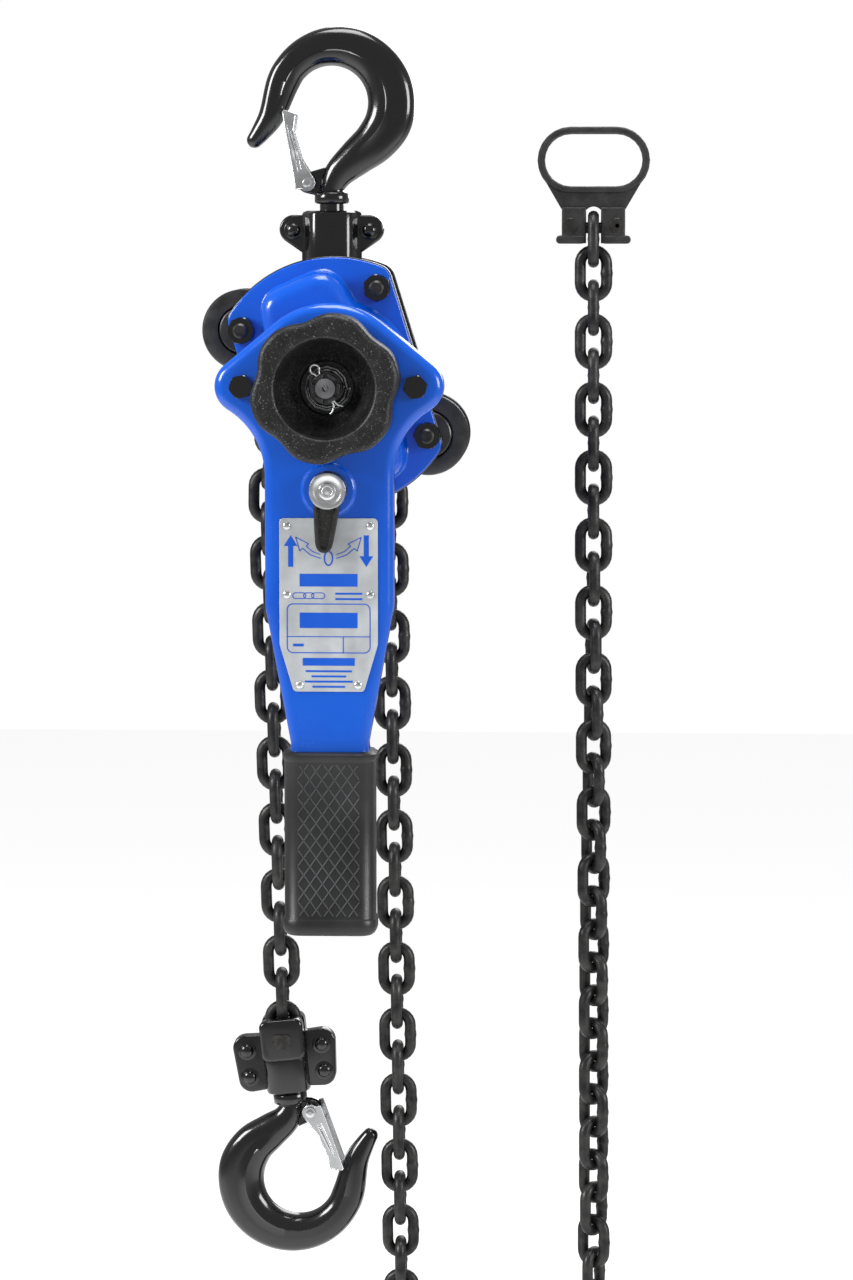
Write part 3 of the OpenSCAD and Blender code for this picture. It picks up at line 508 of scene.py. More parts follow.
def chain(node, body):
    """One drawn link for each link of a CAD chain."""
    whole = Shape()
    for points in link_points(node):
        whole.add(link_shape().moved(link_matrix(points)))
    # The links already stand in the row's frame, so they need no placing.
    piece("links_" + node, whole, CHAIN, body, [node], 60, Matrix.Identity(4))


# ---------------------------------------------------------------- hooks

# The hooks' bowl radius, and how much shorter the bottom hook's neck is.
BOWL = 19.2
BOTTOM_LIFT = 5
# Half of a hook's section from its inner to its outer edge: across it, and through its thickness.
# A crisp ridge divides the rounded inner part from the flatter outer one.
SECTION = [(-1, 0), (-0.96, 0.3), (-0.86, 0.58), (-0.68, 0.82), (-0.45, 0.96), (-0.24, 1), (-0.18, 0.9),
           (0.2, 0.88), (0.55, 0.86), (0.76, 0.74), (0.9, 0.53), (0.98, 0.27), (1, 0)]


def hook_spine(lift):
    """The hook's centre line: x, z, half width, half thickness, as the CAD hook has it."""
    spine = [(-43.3, -22.6, 3.5, 3.7), (-37.5, -15.5, 5.2, 5), (-31.5, -6, 6.9, 6.6)]
    for a in range(160, -21, -20):
        width = blend(12.4, 8.6, smooth(a / 160))
        x, z = polar(BOWL + width, a)
        spine.append((x, z, width, min(8.5, 7.6 + (160 - a) / 60)))
    return spine + [(23, -20.4, 11.4, 8.5), (13.4, -28.5 + lift / 3, 9.8, 8.2),
                    (4.4, -36.6 + lift * 0.8, 8, 7.4), (0, -44 + lift, 6.6, 6.6), (0, -48 + lift, 6.4, 6.4)]


def latch_pivot(lift):
    """The latch pin's place in a hook's own frame."""
    return (-12.4 + lift / 3, -42.3 + lift)


def along(points, t):
    """A place on a smooth curve through a list of points, where t counts the points passed."""
    p = np.array(points, float)
    i = min(int(t), len(p) - 2)
    u = t - i
    a, b, c, d = p[max(i - 1, 0)], p[i], p[i + 1], p[min(i + 2, len(p) - 1)]
    return b + 0.5 * u * ((c - a) + u * ((2 * a - 5 * b + 4 * c - d) + u * (3 * b - a - 3 * c + d)))


def hook_section(ridge):
    """The closed section, round where ridge is 0 and ridged where it is 1."""
    half = [(w, blend(math.sqrt(max(0, 1 - w * w)) ** 0.8, h, ridge)) for w, h in SECTION]
    return half + [(w, -h) for w, h in half[-2:0:-1]]


def hook_shape(lift):
    """A forged hook: its section along the spine, a rounded tip, a necked shank and the latch's boss."""
    spine = hook_spine(lift)
    steps = 8
    count = (len(spine) - 1) * steps
    line = [along(spine, i / steps) for i in range(count + 1)]
    rings = []
    for i, q in enumerate(line):
        d = Vector((line[min(i + 1, count)] - line[max(i - 1, 0)])[:2]).normalized()
        ridge = smooth((i / steps - 1.5) / 2) * smooth((len(spine) - 3.5 - i / steps) / 2)
        rings.append([Vector((q[0] - d.y * w * q[2], h * q[3], q[1] + d.x * w * q[2]))
                      for w, h in hook_section(ridge)])
    # The rings before this one give way to the rounded tip.
    first = 4
    start = Vector((line[first][0], 0, line[first][1]))
    back = (start - Vector((line[first + 1][0], 0, line[first + 1][1]))).normalized() * line[first][2]
    tip = [[start + (p - start) * math.cos(a) + back * math.sin(a) for p in rings[first]]
           for a in (math.radians(t) for t in (84, 66, 44, 22))]
    shape = Shape().loft(tip + rings[first:])
    shank = [(6.4, -66), (6.4, -53.4), (8.4, -53), (9.1, -52.3), (9.1, -47.8), (8.4, -47.2), (6.3, -46.6),
             (6, -40)]
    shape.upright([(r, z + lift) for r, z in shank])
    pivot = latch_pivot(lift)
    boss = hull(circle(pivot, 5.4, 24) + [(-3, -34 + lift), (-8.5, -36.5 + lift), (-3, -50 + lift)])
    rim = edge(1, 0, -4, 3)
    return shape.prism(evenly(boss, 1.5), rim + [(d, -y) for d, y in reversed(rim)])


def outside_bowl(point, pivot, clear=0.5):
    """A latch point in the pivot's frame, pushed out of the bowl's round if it is inside it."""
    x, z = point[0] + pivot[0], point[1] + pivot[1]
    grow = max(1, (BOWL + clear) / math.hypot(x, z))
    return (x * grow - pivot[0], z * grow - pivot[1])


def latch_shape(lift):
    """Pressed steel: two cheeks with beads and a pin's head, joined by a web on their outer side."""
    pivot = latch_pivot(lift)
    tip = (-12.7 - lift / 3, 37.2 - lift)
    inner = [(tip[0] + 1, tip[1] + 0.7), (tip[0] + 7, tip[1] - 1), (-7.6, 27), (-3.4, 12.6), (3.6, 2)]
    cheek = [(-5.8, -3), tip] + [outside_bowl(p, pivot) for p in inner] + arc((0, 0), 4, 20, -140, 10)
    rim = edge(0.35, 0, -10.3, 3)
    shape = Shape()
    for s in (-1, 1):
        side = Shape().prism(evenly(cheek, 1.0), rim + [(0.2, -8.7)])
        for a, b in (((-10.9, 31 - lift), (-4.9, 6)), ((-8.6, 27 - lift), (-3.2, 7))):
            side.tube([(blend(a[0], b[0], t / 6), -10.2, blend(a[1], b[1], t / 6)) for t in range(7)],
                      [0.2, 0.5, 0.6, 0.6, 0.6, 0.5, 0.2], 8)
        side.lathe([(2.9, -10.2), (2.9, -10.9), (2.2, -11.5), (0.9, -11.6), (0.8, -11.2), (0.1, -11.2)],
                   steps=24)
        shape.add(side.moved(Matrix.Scale(s, 4, (0, 1, 0))))
    web = [(-7.3, 6), (tip[0] + 0.5, tip[1] - 2.8), (tip[0] + 1.8, tip[1] - 2.8), (-5.9, 6)]
    return shape.prism(subdivided(web, 4), [(0, -8.8), (0, 8.8)])


def latch(which, body, place, lift):
    """One hook's latch, hung from its pin."""
    x, z = latch_pivot(lift)
    piece(which + "_latch_pressing", latch_shape(lift), ZINC, body, [which + "_latch"], 40,
          place @ Matrix.Translation(Vector((x, 0, z)) * MM))


def hook_place(joint):
    """Where a hook's own frame sits: the bowl's centre, its +Z down the swivel joint's axis."""
    up = Vector(JOINTS[joint]["axis"])
    side = Vector((0, 1, 0)).cross(up)
    turn = Matrix((side, (0, 1, 0), up)).transposed().to_4x4()
    return Matrix.Translation(Vector(JOINTS[joint]["pos_m"])) @ turn


def domed_head(shape, centre, r, y, height):
    """A rounded rivet head standing off a face at y, towards -Y if height is positive."""
    quarter = [math.pi / 2 * i / 6 for i in range(6)]
    profile = [(r * math.cos(a), y - height * math.sin(a)) for a in quarter]
    return shape.lathe([(r, y + height * 0.5)] + profile + [(0.1, y - height)], centre, 24)


def half_round(r, square=1.0):
    """Half a circle in plan; squarer than a circle if square is below 1."""
    return [(math.copysign(abs(c) ** square, c) * r, s ** square * r)
            for c, s in (polar(1, a) for a in [0, *range(5, 180, 5), 180])]


def yoke_shape(ears, sweep, foot, top, ear_base):
    """Both pressed halves of a yoke: flat ears, and a barrel whose plan is the sweep."""
    near = 0.15  # each half starts this far from the middle plane
    reach = max(x for x, y in sweep)
    shape = Shape()
    for s in (-1, 1):
        for ear in ears:
            shape.prism(evenly(ear, 1.2), [(0.4, s * near)] + edge(1.2, 0, s * 4.2, 4))
        rings = [[(x * k, s * (near + y * k * 0.97), z) for x, y in sweep]
                 for z, k in ((top, 0.82), (top - 0.9, 0.96), (top - 2.2, 1), (ear_base, 1))]
        for a in range(0, 91, 10):
            c, drop = polar(1, a)
            z = foot - reach * drop * 0.98
            rings.append([(x * max(c, 0.12), s * (near + y * (0.25 + 0.75 * c) * 0.97), z)
                          for x, y in sweep])
        shape.loft(rings)
    return shape


TOP_PLACE = hook_place("top_hook_swivel")
BOTTOM_PLACE = hook_place("bottom_hook_swivel")


def rivet_heads(name, body, node, spots, place):
    """A collar and a rounded head at each spot, on both faces of a yoke."""
    heads = Shape()
    for x, z in spots:
        for s in (-1, 1):
            heads.lathe([(5, s * 4.1), (5, s * 4.5), (4.5, s * 4.75)], (x, z), 28)
            domed_head(heads, (x, z), 3.7, s * 4.4, -s * 2.4)
    piece(name, heads, BLACK, body, [node], 40, place)


def top_yoke():
    """Round ears that slope in to a barrel with a flat panel in front and flared fillets."""
    ears = hull(circle((20, -66.6), 7.6, 40) + circle((-20, -66.6), 7.6, 40) + [(11, -82), (-11, -82)])
    right = [(15.6, 4), (13.9, 4.6), (13, 5.8), (12.4, 7.4), (11, 9.8), (9.4, 11.5), (7.65, 12.4), (4, 12.6)]
    sweep = right + [(0, 12.7)] + [(-x, y) for x, y in reversed(right)]
    shape = yoke_shape([ears], sweep, -84, -56.8, -76)
    piece("top_yoke_pressing", shape, BLACK, "top_suspension", ["top_yoke_front", "top_yoke_rear"],
          28, TOP_PLACE)
    rivet_heads("top_yoke_rivet_heads", "top_suspension", "top_yoke_rivets", [(-20, -67), (20, -67)],
                TOP_PLACE)


def bottom_yoke():
    """Four-cornered ears, a raised box over the chain pin and a barrel round the hook's neck."""
    pin = -78  # the chain pin's height in the hook's own frame
    ears = [hull(circle((20.8 * s, pin + 3.5), 7, 32) + circle((19.4 * s, pin + 20.7), 7, 32)
                 + [(10.8 * s, pin - 3), (10.8 * s, pin + 27)]) for s in (-1, 1)]
    shape = yoke_shape(ears, half_round(11.9, 0.62), pin + 12, pin + 29.6, pin + 14)
    for s in (-1, 1):
        box = shifted(rounded_box(23.6, 22.6, 4), (0, pin - 0.5))
        shape.prism(evenly(box, 1.2), [(0.2, s * 3.6)] + edge(2, 0, s * 13.2, 5))
    piece("bottom_yoke_pressing", shape, BLACK, "bottom_block", ["bottom_yoke_front", "bottom_yoke_rear"],
          28, BOTTOM_PLACE)
    spots = [(20.25 * s, pin + z) for s in (-1, 1) for z in (4.9, 19.4)]
    rivet_heads("bottom_yoke_rivet_heads", "bottom_block", "bottom_yoke_rivets", spots, BOTTOM_PLACE)


# ---------------------------------------------------------------- frame

# The four stays that hold the plates apart. The first and third carry the guide rollers.
STAYS = [(-49, 27.5), (22.6, 50), (49, -27.5), (-22.6, -50)]
PLATE_INNER = 15
PLATE_OUTER = 19


def frame_outline():
    """A disc cut by two leaning straight edges, its corners rounded."""
    radius = 66.5
    width = 90.4
    corner = 9.0
    lean = 17.2
    half = width / 2 - corner
    top = math.degrees(math.acos(half / (radius - corner)))
    rise = math.sqrt((radius - corner) ** 2 - half ** 2)
    centres = [(x, z) for x in (half, -half) for z in (-rise, rise)]
    ring = [p for c in centres for p in circle(c, corner, 48)]
    caps = arc((0, 0), radius, top, 180 - top, 24) + arc((0, 0), radius, 180 + top, 360 - top, 24)
    return evenly(turned(hull(ring + caps), lean), 1.5)


def plates():
    """The two pressed side plates."""
    outline = frame_outline()
    for name, y0, y1 in (("front_side_plate", -PLATE_OUTER, -PLATE_INNER),
                         ("rear_side_plate", PLATE_OUTER, PLATE_INNER)):
        shape = Shape().prism(outline, edge(0.6, y1, y0, 3)[::-1] + edge(0.6, y0, y1, 3))
        piece("pressed_" + name, shape, BLACK, "frame", [name])


def hump():
    """The brake cover's raised part over one pawl."""
    return hull(circle((-25.5, 38), 12, 32) + circle((-6, 46.5), 12, 32) + circle((0, 0), 30, 32))


def dome_outline():
    """The raised part's outline, as the furthest reach of the disc and two humps at each angle."""
    rings = [np.array(turned(hump(), s)) for s in (0, 180)]

    def reach(ring, a):
        d = np.array(polar(1, a))
        p, q = ring, np.roll(ring, -1, axis=0)
        e = q - p
        det = d[0] * -e[:, 1] + d[1] * e[:, 0]
        det = np.where(np.abs(det) < 1e-9, 1e-9, det)
        t = (p[:, 0] * -e[:, 1] + p[:, 1] * e[:, 0]) / det
        u = (d[0] * p[:, 1] - d[1] * p[:, 0]) / det
        hit = t[(u >= -1e-6) & (u <= 1 + 1e-6) & (t > 0)]
        return hit.max() if len(hit) else 0
    raw = np.array([max(42, *(reach(r, a) for r in rings)) for a in range(0, 360, 2)])
    soft = sum(np.roll(raw, k) for k in (-2, -1, 0, 1, 2)) / 5
    return evenly([polar(r, 2 * i) for i, r in enumerate(soft)], 1.5)


def brake_cover():
    """The blue cover: a flange on the front plate and a rounded dome over the brake."""
    rim = edge(0.9, 0, -21.2, 4)[::-1] + [(0, -19.2), (0.3, -19.05)]
    cover = Shape().prism(inset(frame_outline(), 0.6), rim)
    profile = [(-2.4, -20.9), (-1.3, -21.4), (-0.5, -22.4), (-0.1, -24)]
    profile += [(d + 0.6 * i / 8, y) for i, (d, y) in enumerate(edge(7, 0, -44, 8))]
    cover.prism(dome_outline(), profile)
    piece("brake_cover_pressing", cover, BLUE, "frame", ["brake_cover"], 30)


def gear_cover():
    """The gear case: a flange on the rear plate and a box with round ends over the gears."""
    spots = [polar(30, 107.5), polar(30, 287.5)]
    outline = evenly(hull(circle(spots[0], 28, 48) + circle(spots[1], 28, 48)), 1.5)
    shape = Shape().prism(inset(frame_outline(), 0.6), [(0.3, 19.05), (0, 19.2)] + edge(0.9, 0, 21.2, 4))
    profile = [(-2.4, 20.9), (-1.3, 21.4), (-0.5, 22.4), (-0.1, 24)] + edge(6, 0, 46, 7) + [(14, 46)]
    shape.prism(outline, profile)
    piece("gear_case_pressing", shape, BLACK, "frame", ["gear_case"], 30)


def nut_shape(shape, centre, across, y0, y1, turn=0):
    """A chamfered hexagon nut from its seat y0 to its crown y1."""
    step = math.copysign(1, y1 - y0)
    corner = across / 2 / math.cos(math.pi / 6)
    hexagon = subdivided([polar(corner, 60 * i + turn) for i in range(6)], 8)
    levels = ((y0, corner), (y1 - 0.13 * across * step, corner), (y1 - 0.04 * across * step, corner * 0.965),
              (y1, corner * 0.89))
    rings = []
    for y, reach in levels:
        cut = [(x, z, min(1, reach / math.hypot(x, z))) for x, z in hexagon]
        rings.append([(centre[0] + x * k, y, centre[1] + z * k) for x, z, k in cut])
    return shape.loft(rings)


def stay_hardware():
    """Nuts and washers on both plates, each pair turned its own way, and the shouldered studs."""
    nuts, studs = Shape(), Shape()
    for i, p in enumerate(STAYS):
        for s in (-1, 1):
            nut_shape(nuts, p, 13, s * 21.1, s * 27.5, 11 + 23 * i)
            nuts.lathe([(6.8, s * 21), (7, s * 21.3), (6.8, s * 22)], p, 32)
        thread = [(3.9 if k % 2 else 3.55, -27 - 0.6 * k) for k in range(6)]
        body = 6 if i % 2 == 0 else 4.3
        half = [(2.9, -31)] + thread[::-1] + [(3.9, -20), (3.9, -PLATE_INNER), (body, -PLATE_INNER)]
        studs.lathe(half + [(r, -y) for r, y in reversed(half)], p, 32)
    piece("stay_hex_nuts", nuts, BLACK, "frame", ["stay_nuts"], 20)
    piece("stay_studs", studs, BLACKENED, "frame", ["stay_bolts"], 30)


def roller(name, body, centre):
    """A guide roller: two turned flanges, a wide neck for flat links and a groove for standing ones."""
    half = [(12.6, 12.9), (13.2, 14.2), (14.4, 14.5), (19.6, 14.5), (21, 14.1), (21.5, 13.2), (21.5, 11.9),
            (20.9, 10.9), (15.6, 10.6), (14.8, 9.9), (14.8, 5.1), (14.2, 4.5), (9.6, 4.3)]
    hub = [(6.1, 14.4), (11.6, 14.4), (12.2, 13.9), (12.4, 13)]
    profile = hub + half + [(r, -y) for r, y in reversed(hub + half)]
    shape = Shape().lathe(profile, centre, 72, caps=False)
    piece(name + "_turned", shape, TURNED, body, [name], 35)


# ---------------------------------------------------------------- handwheel and lever

def handwheel():
    """A cast cup with six shallow hollows round its rim and a sunk seat in its floor."""
    face, back = -99, -72.4
    angles = range(0, 360, 2)
    hollows = [(1 + math.cos(math.radians(6 * (a - 48)))) / 2 for a in angles]
    lobes = [38.6 - 3.3 * h ** 1.7 for h in hollows]

    def ring(y, radii):
        return [(r * polar(1, a)[0], y, r * polar(1, a)[1]) for r, a in zip(radii, angles)]

    def lobed(y, cut):
        return ring(y, [r - cut for r in lobes])

    def plain(y, r):
        return ring(y, [r] * len(angles))

    cup = [(27.2, face), (26.3, -98.7), (25.7, -97.9), (25.3, -96.2), (24.6, -92), (22.6, -87), (19.6, -82.6),
           (16.6, -79.8), (14.8, -78.6), (14.2, -78.4), (13.8, -77.8), (13.4, -76.2), (8, -76)]
    rim = edge(2.6, face, back, 4)[::-1] + edge(3.4, 0, face, 6)
    rings = [plain(back, 8), lobed(back, 5)]
    rings += [lobed(y, d) for d, y in rim]
    rings += [plain(y, r) for r, y in cup]
    piece("handwheel_casting", Shape().loft(rings), CAST, "hand_wheel", ["handwheel"], 50)


def castle_nut():
    """A hexagon with six teeth standing on it and a washer under it."""
    shape = Shape()
    nut_shape(shape, (0, 0), 16.3, -80.6, -84.4, 12)
    shape.lathe([(8.9, -79.7), (8.9, -80.6), (6, -80.7)], steps=48)
    for k in range(6):
        outer = arc((0, 0), 7.6, 60 * k + 39, 60 * k + 81, 8)
        tooth = outer + arc((0, 0), 5.3, 60 * k + 76, 60 * k + 44, 6)
        shape.prism(tooth, [(0, -84.2)] + edge(0.4, 0, -88.6, 3))
    piece("castle_nut_turned", shape, TURNED, "drive", ["castle_nut"], 30)


def split_pin():
    """A folded wire through the nut's slots: its eye on one side, its two legs bent on the other."""
    eye = arc((11.2, 0), 2.4, 150, -150, 15)
    one = [(-12.6, 4.6), (-11.9, 2.7), (-10.3, 1.1), (-8.4, 0.6), (-3, 0.55), (3, 0.55), (7.4, 0.6), (8.3, 1)]
    other = [(8.3, -1), (7.4, -0.6), (3, -0.55), (-3, -0.55), (-8.4, -0.6), (-10.6, -1.3), (-12.4, -3.2)]
    path = [(x, -86.4, z) for x, z in turned(one + eye + other, 120)]
    shape = Shape().tube(path, [0.35] + [0.6] * (len(path) - 2) + [0.35], 10)
    piece("split_pin_wire", shape, ZINC, "drive", ["split_pin"], 60)


# The lever's faces along Y, the plane where its two shells meet, and its bolts' and selector's places.
LEVER_FRONT = -68
LEVER_BACK = -46
LEVER_SPLIT = -57
EAR_X = 45
SELECTOR_Z = -53.2


def lever_outline():
    """Round head, an ear on each side and a stem tapering into the grip."""
    head_r = 43
    ear_r = 14.3
    stem = 33.4
    fillet = 40
    centre = (stem + fillet, -math.sqrt((ear_r + fillet) ** 2 - (stem + fillet - EAR_X) ** 2))
    meet = math.degrees(math.atan2(centre[1], centre[0] - EAR_X))
    touch = math.degrees(math.acos((head_r - ear_r) / EAR_X))
    right = [(17, -276), (17, -204)]
    right += [(20.2 - 1.2 * math.cos(math.pi * i / 6), -204 + 9 * i / 6) for i in range(1, 6)]
    right += [(20.2 + 13.2 * i / 16, -186 + 72 * i / 16) for i in range(17)]
    right[-1:] = [(33.1, -116.5), (33.35, -113), (33.4, -108)]
    right += arc(centre, fillet, 180, 180 + meet, 14)
    right += arc((EAR_X, 0), ear_r, meet, touch, 20)
    right += arc((0, 0), head_r, touch, 90, 14)[:-1]
    return evenly(mirrored(right), 2.0)


def lever():
    """Two pressed shells with a thin seam between them, the selector's boss and the ear bolts."""
    outline = lever_outline()
    round_r, seam = 5.2, 0.1
    front = Shape().prism(outline, [(0.3, LEVER_SPLIT - seam)] + edge(round_r, 0, LEVER_FRONT, 8)
                          + [(9, LEVER_FRONT)])
    rear = Shape().prism(outline, [(0.3, LEVER_SPLIT + seam)] + edge(round_r, LEVER_SPLIT, LEVER_BACK, 8)
                         + [(9, LEVER_BACK)])
    boss = [(15.6, -67.9), (14.4, -68.1), (13.6, -68.9), (12.9, -69.5), (12, -69.6), (6, -69.6)]
    front.lathe(boss, (0, SELECTOR_Z), 48)
    piece("lever_shell_front", front, BLUE, "lever", ["lever_front_shell"], 30)
    piece("lever_shell_rear", rear, BLUE, "lever", ["lever_rear_shell"], 30)
    bolts = Shape()
    for x in (-EAR_X, EAR_X):
        bolts.lathe([(5.7, LEVER_FRONT), (5.7, -68.4), (5.4, -68.7)], (x, 0), 36)
        nut_shape(bolts, (x, 0), 11.4, -68.5, -72, 12)
    piece("lever_hex_bolts", bolts, BLACK, "lever", ["lever_bolts"], 20)


def grip():
    """Rubber grip: a proud collar and end cap, and crossed ribs on both broad faces between them."""
    shape = Shape()
    section = rounded_box(47.4, 30, 9)
    middle_y = -58
    collar = [(0.8, -189.6), (0.2, -190.1), (-0.9, -190.8), (-0.9, -193.2), (-0.2, -194.2), (0, -194.8)]
    cap = [(0, -276.8), (-0.4, -277.4), (-0.9, -278.2), (-0.9, -283), (0.2, -285), (1.6, -286)]
    shape.loft([[(x, middle_y + y, z) for x, y in inset(evenly(section, 1.5), d)] for d, z in collar + cap])
    piece("grip_moulding", shape, RUBBER, "lever", ["lever_grip"], 40)
    ribs = Shape()
    width = 32
    height = 81
    cell_h = 9.1
    slope = cell_h / 6.5
    middle_z = -235.6
    columns = np.linspace(-width / 2, width / 2, 41)
    for y in (middle_y - 15, middle_y + 15):
        for s in (-1, 1):
            for k in range(-16, 17):
                base = k * cell_h
                xs = [x for x in columns if abs(base + s * slope * x) <= height / 2]
                if len(xs) > 2:
                    ribs.tube([(x, y, middle_z + base + s * slope * x) for x in (xs[0], xs[-1])], 0.34, 6)
    piece("grip_diamonds", ribs, RIDGE, "lever")


# ---------------------------------------------------------------- rating plate and selector

PLATE_FACE = -68.8
INK_DEPTH = 0.12


def flat(shape, outline):
    """A closed outline printed on the plate."""
    return shape.prism(outline, [(0, PLATE_FACE), (0, PLATE_FACE - INK_DEPTH)])


def band(path, width):
    """A flat closed band along an open path in X and Z."""
    p = np.array(path, float)
    d = np.gradient(p, axis=0)
    d /= np.hypot(*d.T)[:, None]
    n = np.stack([-d[:, 1], d[:, 0]], axis=1) * width / 2
    return [tuple(q) for q in np.concatenate([p - n, (p + n)[::-1]])]


def line(shape, points, width=0.45):
    """Printed line through a list of corners."""
    for a, b in zip(points, points[1:]):
        flat(shape, band([a, ((a[0] + b[0]) / 2, (a[1] + b[1]) / 2), b], width))


def bar(shape, x0, x1, z, height):
    """A printed bar, z being its lower edge."""
    flat(shape, [(x0, z), (x1, z), (x1, z + height), (x0, z + height)])


def dial_arrow(shape, side):
    """An outlined arrow that bends away from the dial's 0."""
    upper = [(4.2, -86.6), (8.4, -85), (11.6, -82.2)]
    lower = [(4, -88.6), (9.4, -86.8), (13.4, -83.4)]
    head = [(11.6, -82.2), (10.2, -81.1), (17, -77.6), (14.9, -84.8), (13.4, -83.4)]
    for run in (upper, lower, head):
        line(shape, [(side * x, z) for x, z in run])


def chain_mark(shape, x, z):
    """Three small linked rings."""
    for i, width in enumerate((3.4, 2.7, 3.4)):
        ring = [(q[0] + x + 4.9 * i, q[1] + z) for q in rounded_box(2 * width, 3, 1.5)]
        line(shape, ring + ring[:1], 0.4)


def plate_print():
    """Generic marks only: arrows, a dial's 0, three links, boxes, and bars where lettering would be."""
    ink = Shape()
    for s in (-1, 1):
        arrow = [(-1.3, -8.2), (1.3, -8.2), (1.3, 2.6), (3.5, 2.6), (0, 8.2), (-3.5, 2.6), (-1.3, 2.6)]
        flat(ink, shifted([(x, z * -s) for x, z in arrow][::-s], (19.6 * s, -84.8)))
        dial_arrow(ink, s)
    zero = [(2.1 * math.cos(a), -88.5 + 3.7 * math.sin(a)) for a in np.linspace(0, TAU, 28)]
    line(ink, zero, 0.75)
    bar(ink, -15, 15, -103.2, 6.6)
    chain_mark(ink, -15.2, -108)
    for z in (-107.4, -110.2):
        bar(ink, 3.5, 17.5, z, 1)
    box = shifted(rounded_box(43, 25.4, 3), (0, -125))
    line(ink, box + box[:1], 0.5)
    line(ink, [(-21.5, -129.3), (21.5, -129.3)])
    line(ink, [(7.6, -129.3), (7.6, -137.6)])
    bar(ink, -15, 15, -124.8, 8)
    bar(ink, -18.5, -13, -134.4, 1.4)
    bar(ink, -13.5, 13.5, -144.4, 4)
    for i, half in enumerate((12, 9, 12.5, 8.5)):
        bar(ink, -half, half, -147.8 - 2.7 * i, 1)
    piece("plate_printing", ink, INK, "lever")


def rating_plate():
    """An aluminium plate that narrows towards its foot, with its printing and six rivets."""
    corners = ((23.3, -70), (-23.3, -70), (-23.3, -133.2), (23.3, -133.2), (-16.6, -155.8), (16.6, -155.8))
    outline = evenly(hull([p for c in corners for p in circle(c, 2.2, 24)]), 0.9)
    shape = Shape().prism(outline, [(0.1, LEVER_FRONT), (0, -68.2), (0, -68.65), (0.2, PLATE_FACE)])
    piece("plate_sheet", shape, PLATE, "lever", ["rating_plate"], 30)
    plate_print()
    heads = Shape()
    for s in (-1, 1):
        for x, z in ((21.6, -71.8), (21.6, -107.5), (15.2, -154.5)):
            domed_head(heads, (s * x, z), 2.1, -68.7, 1)
    piece("plate_rivet_heads", heads, ZINC, "lever", ["plate_rivets"], 40)


def selector():
    """The cast knob with its finger, a dished washer and a socket screw, all leaning a little."""
    lean = Matrix.Rotation(math.radians(4), 4, "Y")
    place = Matrix.Translation(SHAFT) @ Matrix.Translation(Vector((0, 0, SELECTOR_Z)) * MM) @ lean
    knob = Shape().lathe([(10, -69.8), (10, -74.8), (9.6, -76), (8.8, -76.5), (4, -76.5)], steps=48)
    side = [(7.6, -1), (5.6, -20), (4.6, -27.5)]
    finger = side + arc((0, -28), 4.3, 0, -180, 12)[1:-1] + [(-x, z) for x, z in reversed(side)]
    hollow = [(2.1, -75.9), (2.6, -74.9)]
    knob.prism(evenly(finger[::-1], 1.2), [(0.6, -70.5)] + edge(1.5, 0, -76, 5) + hollow)
    piece("selector_finger", knob, KNOB, "selector", ["selector_knob"], 40, place)
    dish = [(9.5, -76.4), (9.7, -77), (9.3, -77.8), (8.4, -78), (7.2, -77.6), (6, -76.9), (4.6, -76.7)]
    washer = Shape().lathe(dish, steps=48)
    piece("selector_dished_washer", washer, ZINC, "selector", ["selector_washer"], 40, place)
    crown = [(4.7, -76.5), (4.7, -77.6), (4.4, -78.3), (3.6, -78.7), (2.9, -78.7), (2.5, -78.3), (2.3, -77.4)]
    screw = Shape().lathe(crown + [(1.2, -77.5), (0.1, -77.8)], steps=48)
    piece("selector_screw_head", screw, ZINC, "selector", ["selector_screw"], 40, place)


# ---------------------------------------------------------------- end ring

EYE_Z = 35.4  # the middle of the ring's eye above its pin
EYE_R = 15.6


def ring_eye():
    """A flat-sided oval band, which stands on the neck."""
    shape = Shape()
    eye = shifted(evenly(rounded_box(55.25, 31.2, 15.55), 1.2), (0, EYE_Z))
    rings = []
    for i, (x, z) in enumerate(eye):
        ahead, behind = eye[(i + 1) % len(eye)], eye[i - 1]
        out = Vector((ahead[1] - behind[1], behind[0] - ahead[0])).normalized()
        ring = []
        for c, s in (polar(1, 22.5 * k) for k in range(16)):
            w = math.copysign(abs(c) ** 0.6, c) * 2.03
            ring.append((x + out.x * w, math.copysign(abs(s) ** 0.6, s) * 6, z + out.y * w))
        rings.append(ring)
    return shape.loft(rings, loop=True)


def both_faces(radius, front, back):
    """Profile from a rounded edge in front to one at the back."""
    return edge(radius, 0, front, 3)[::-1] + [(0, 0)] + edge(radius, 0, back, 3)


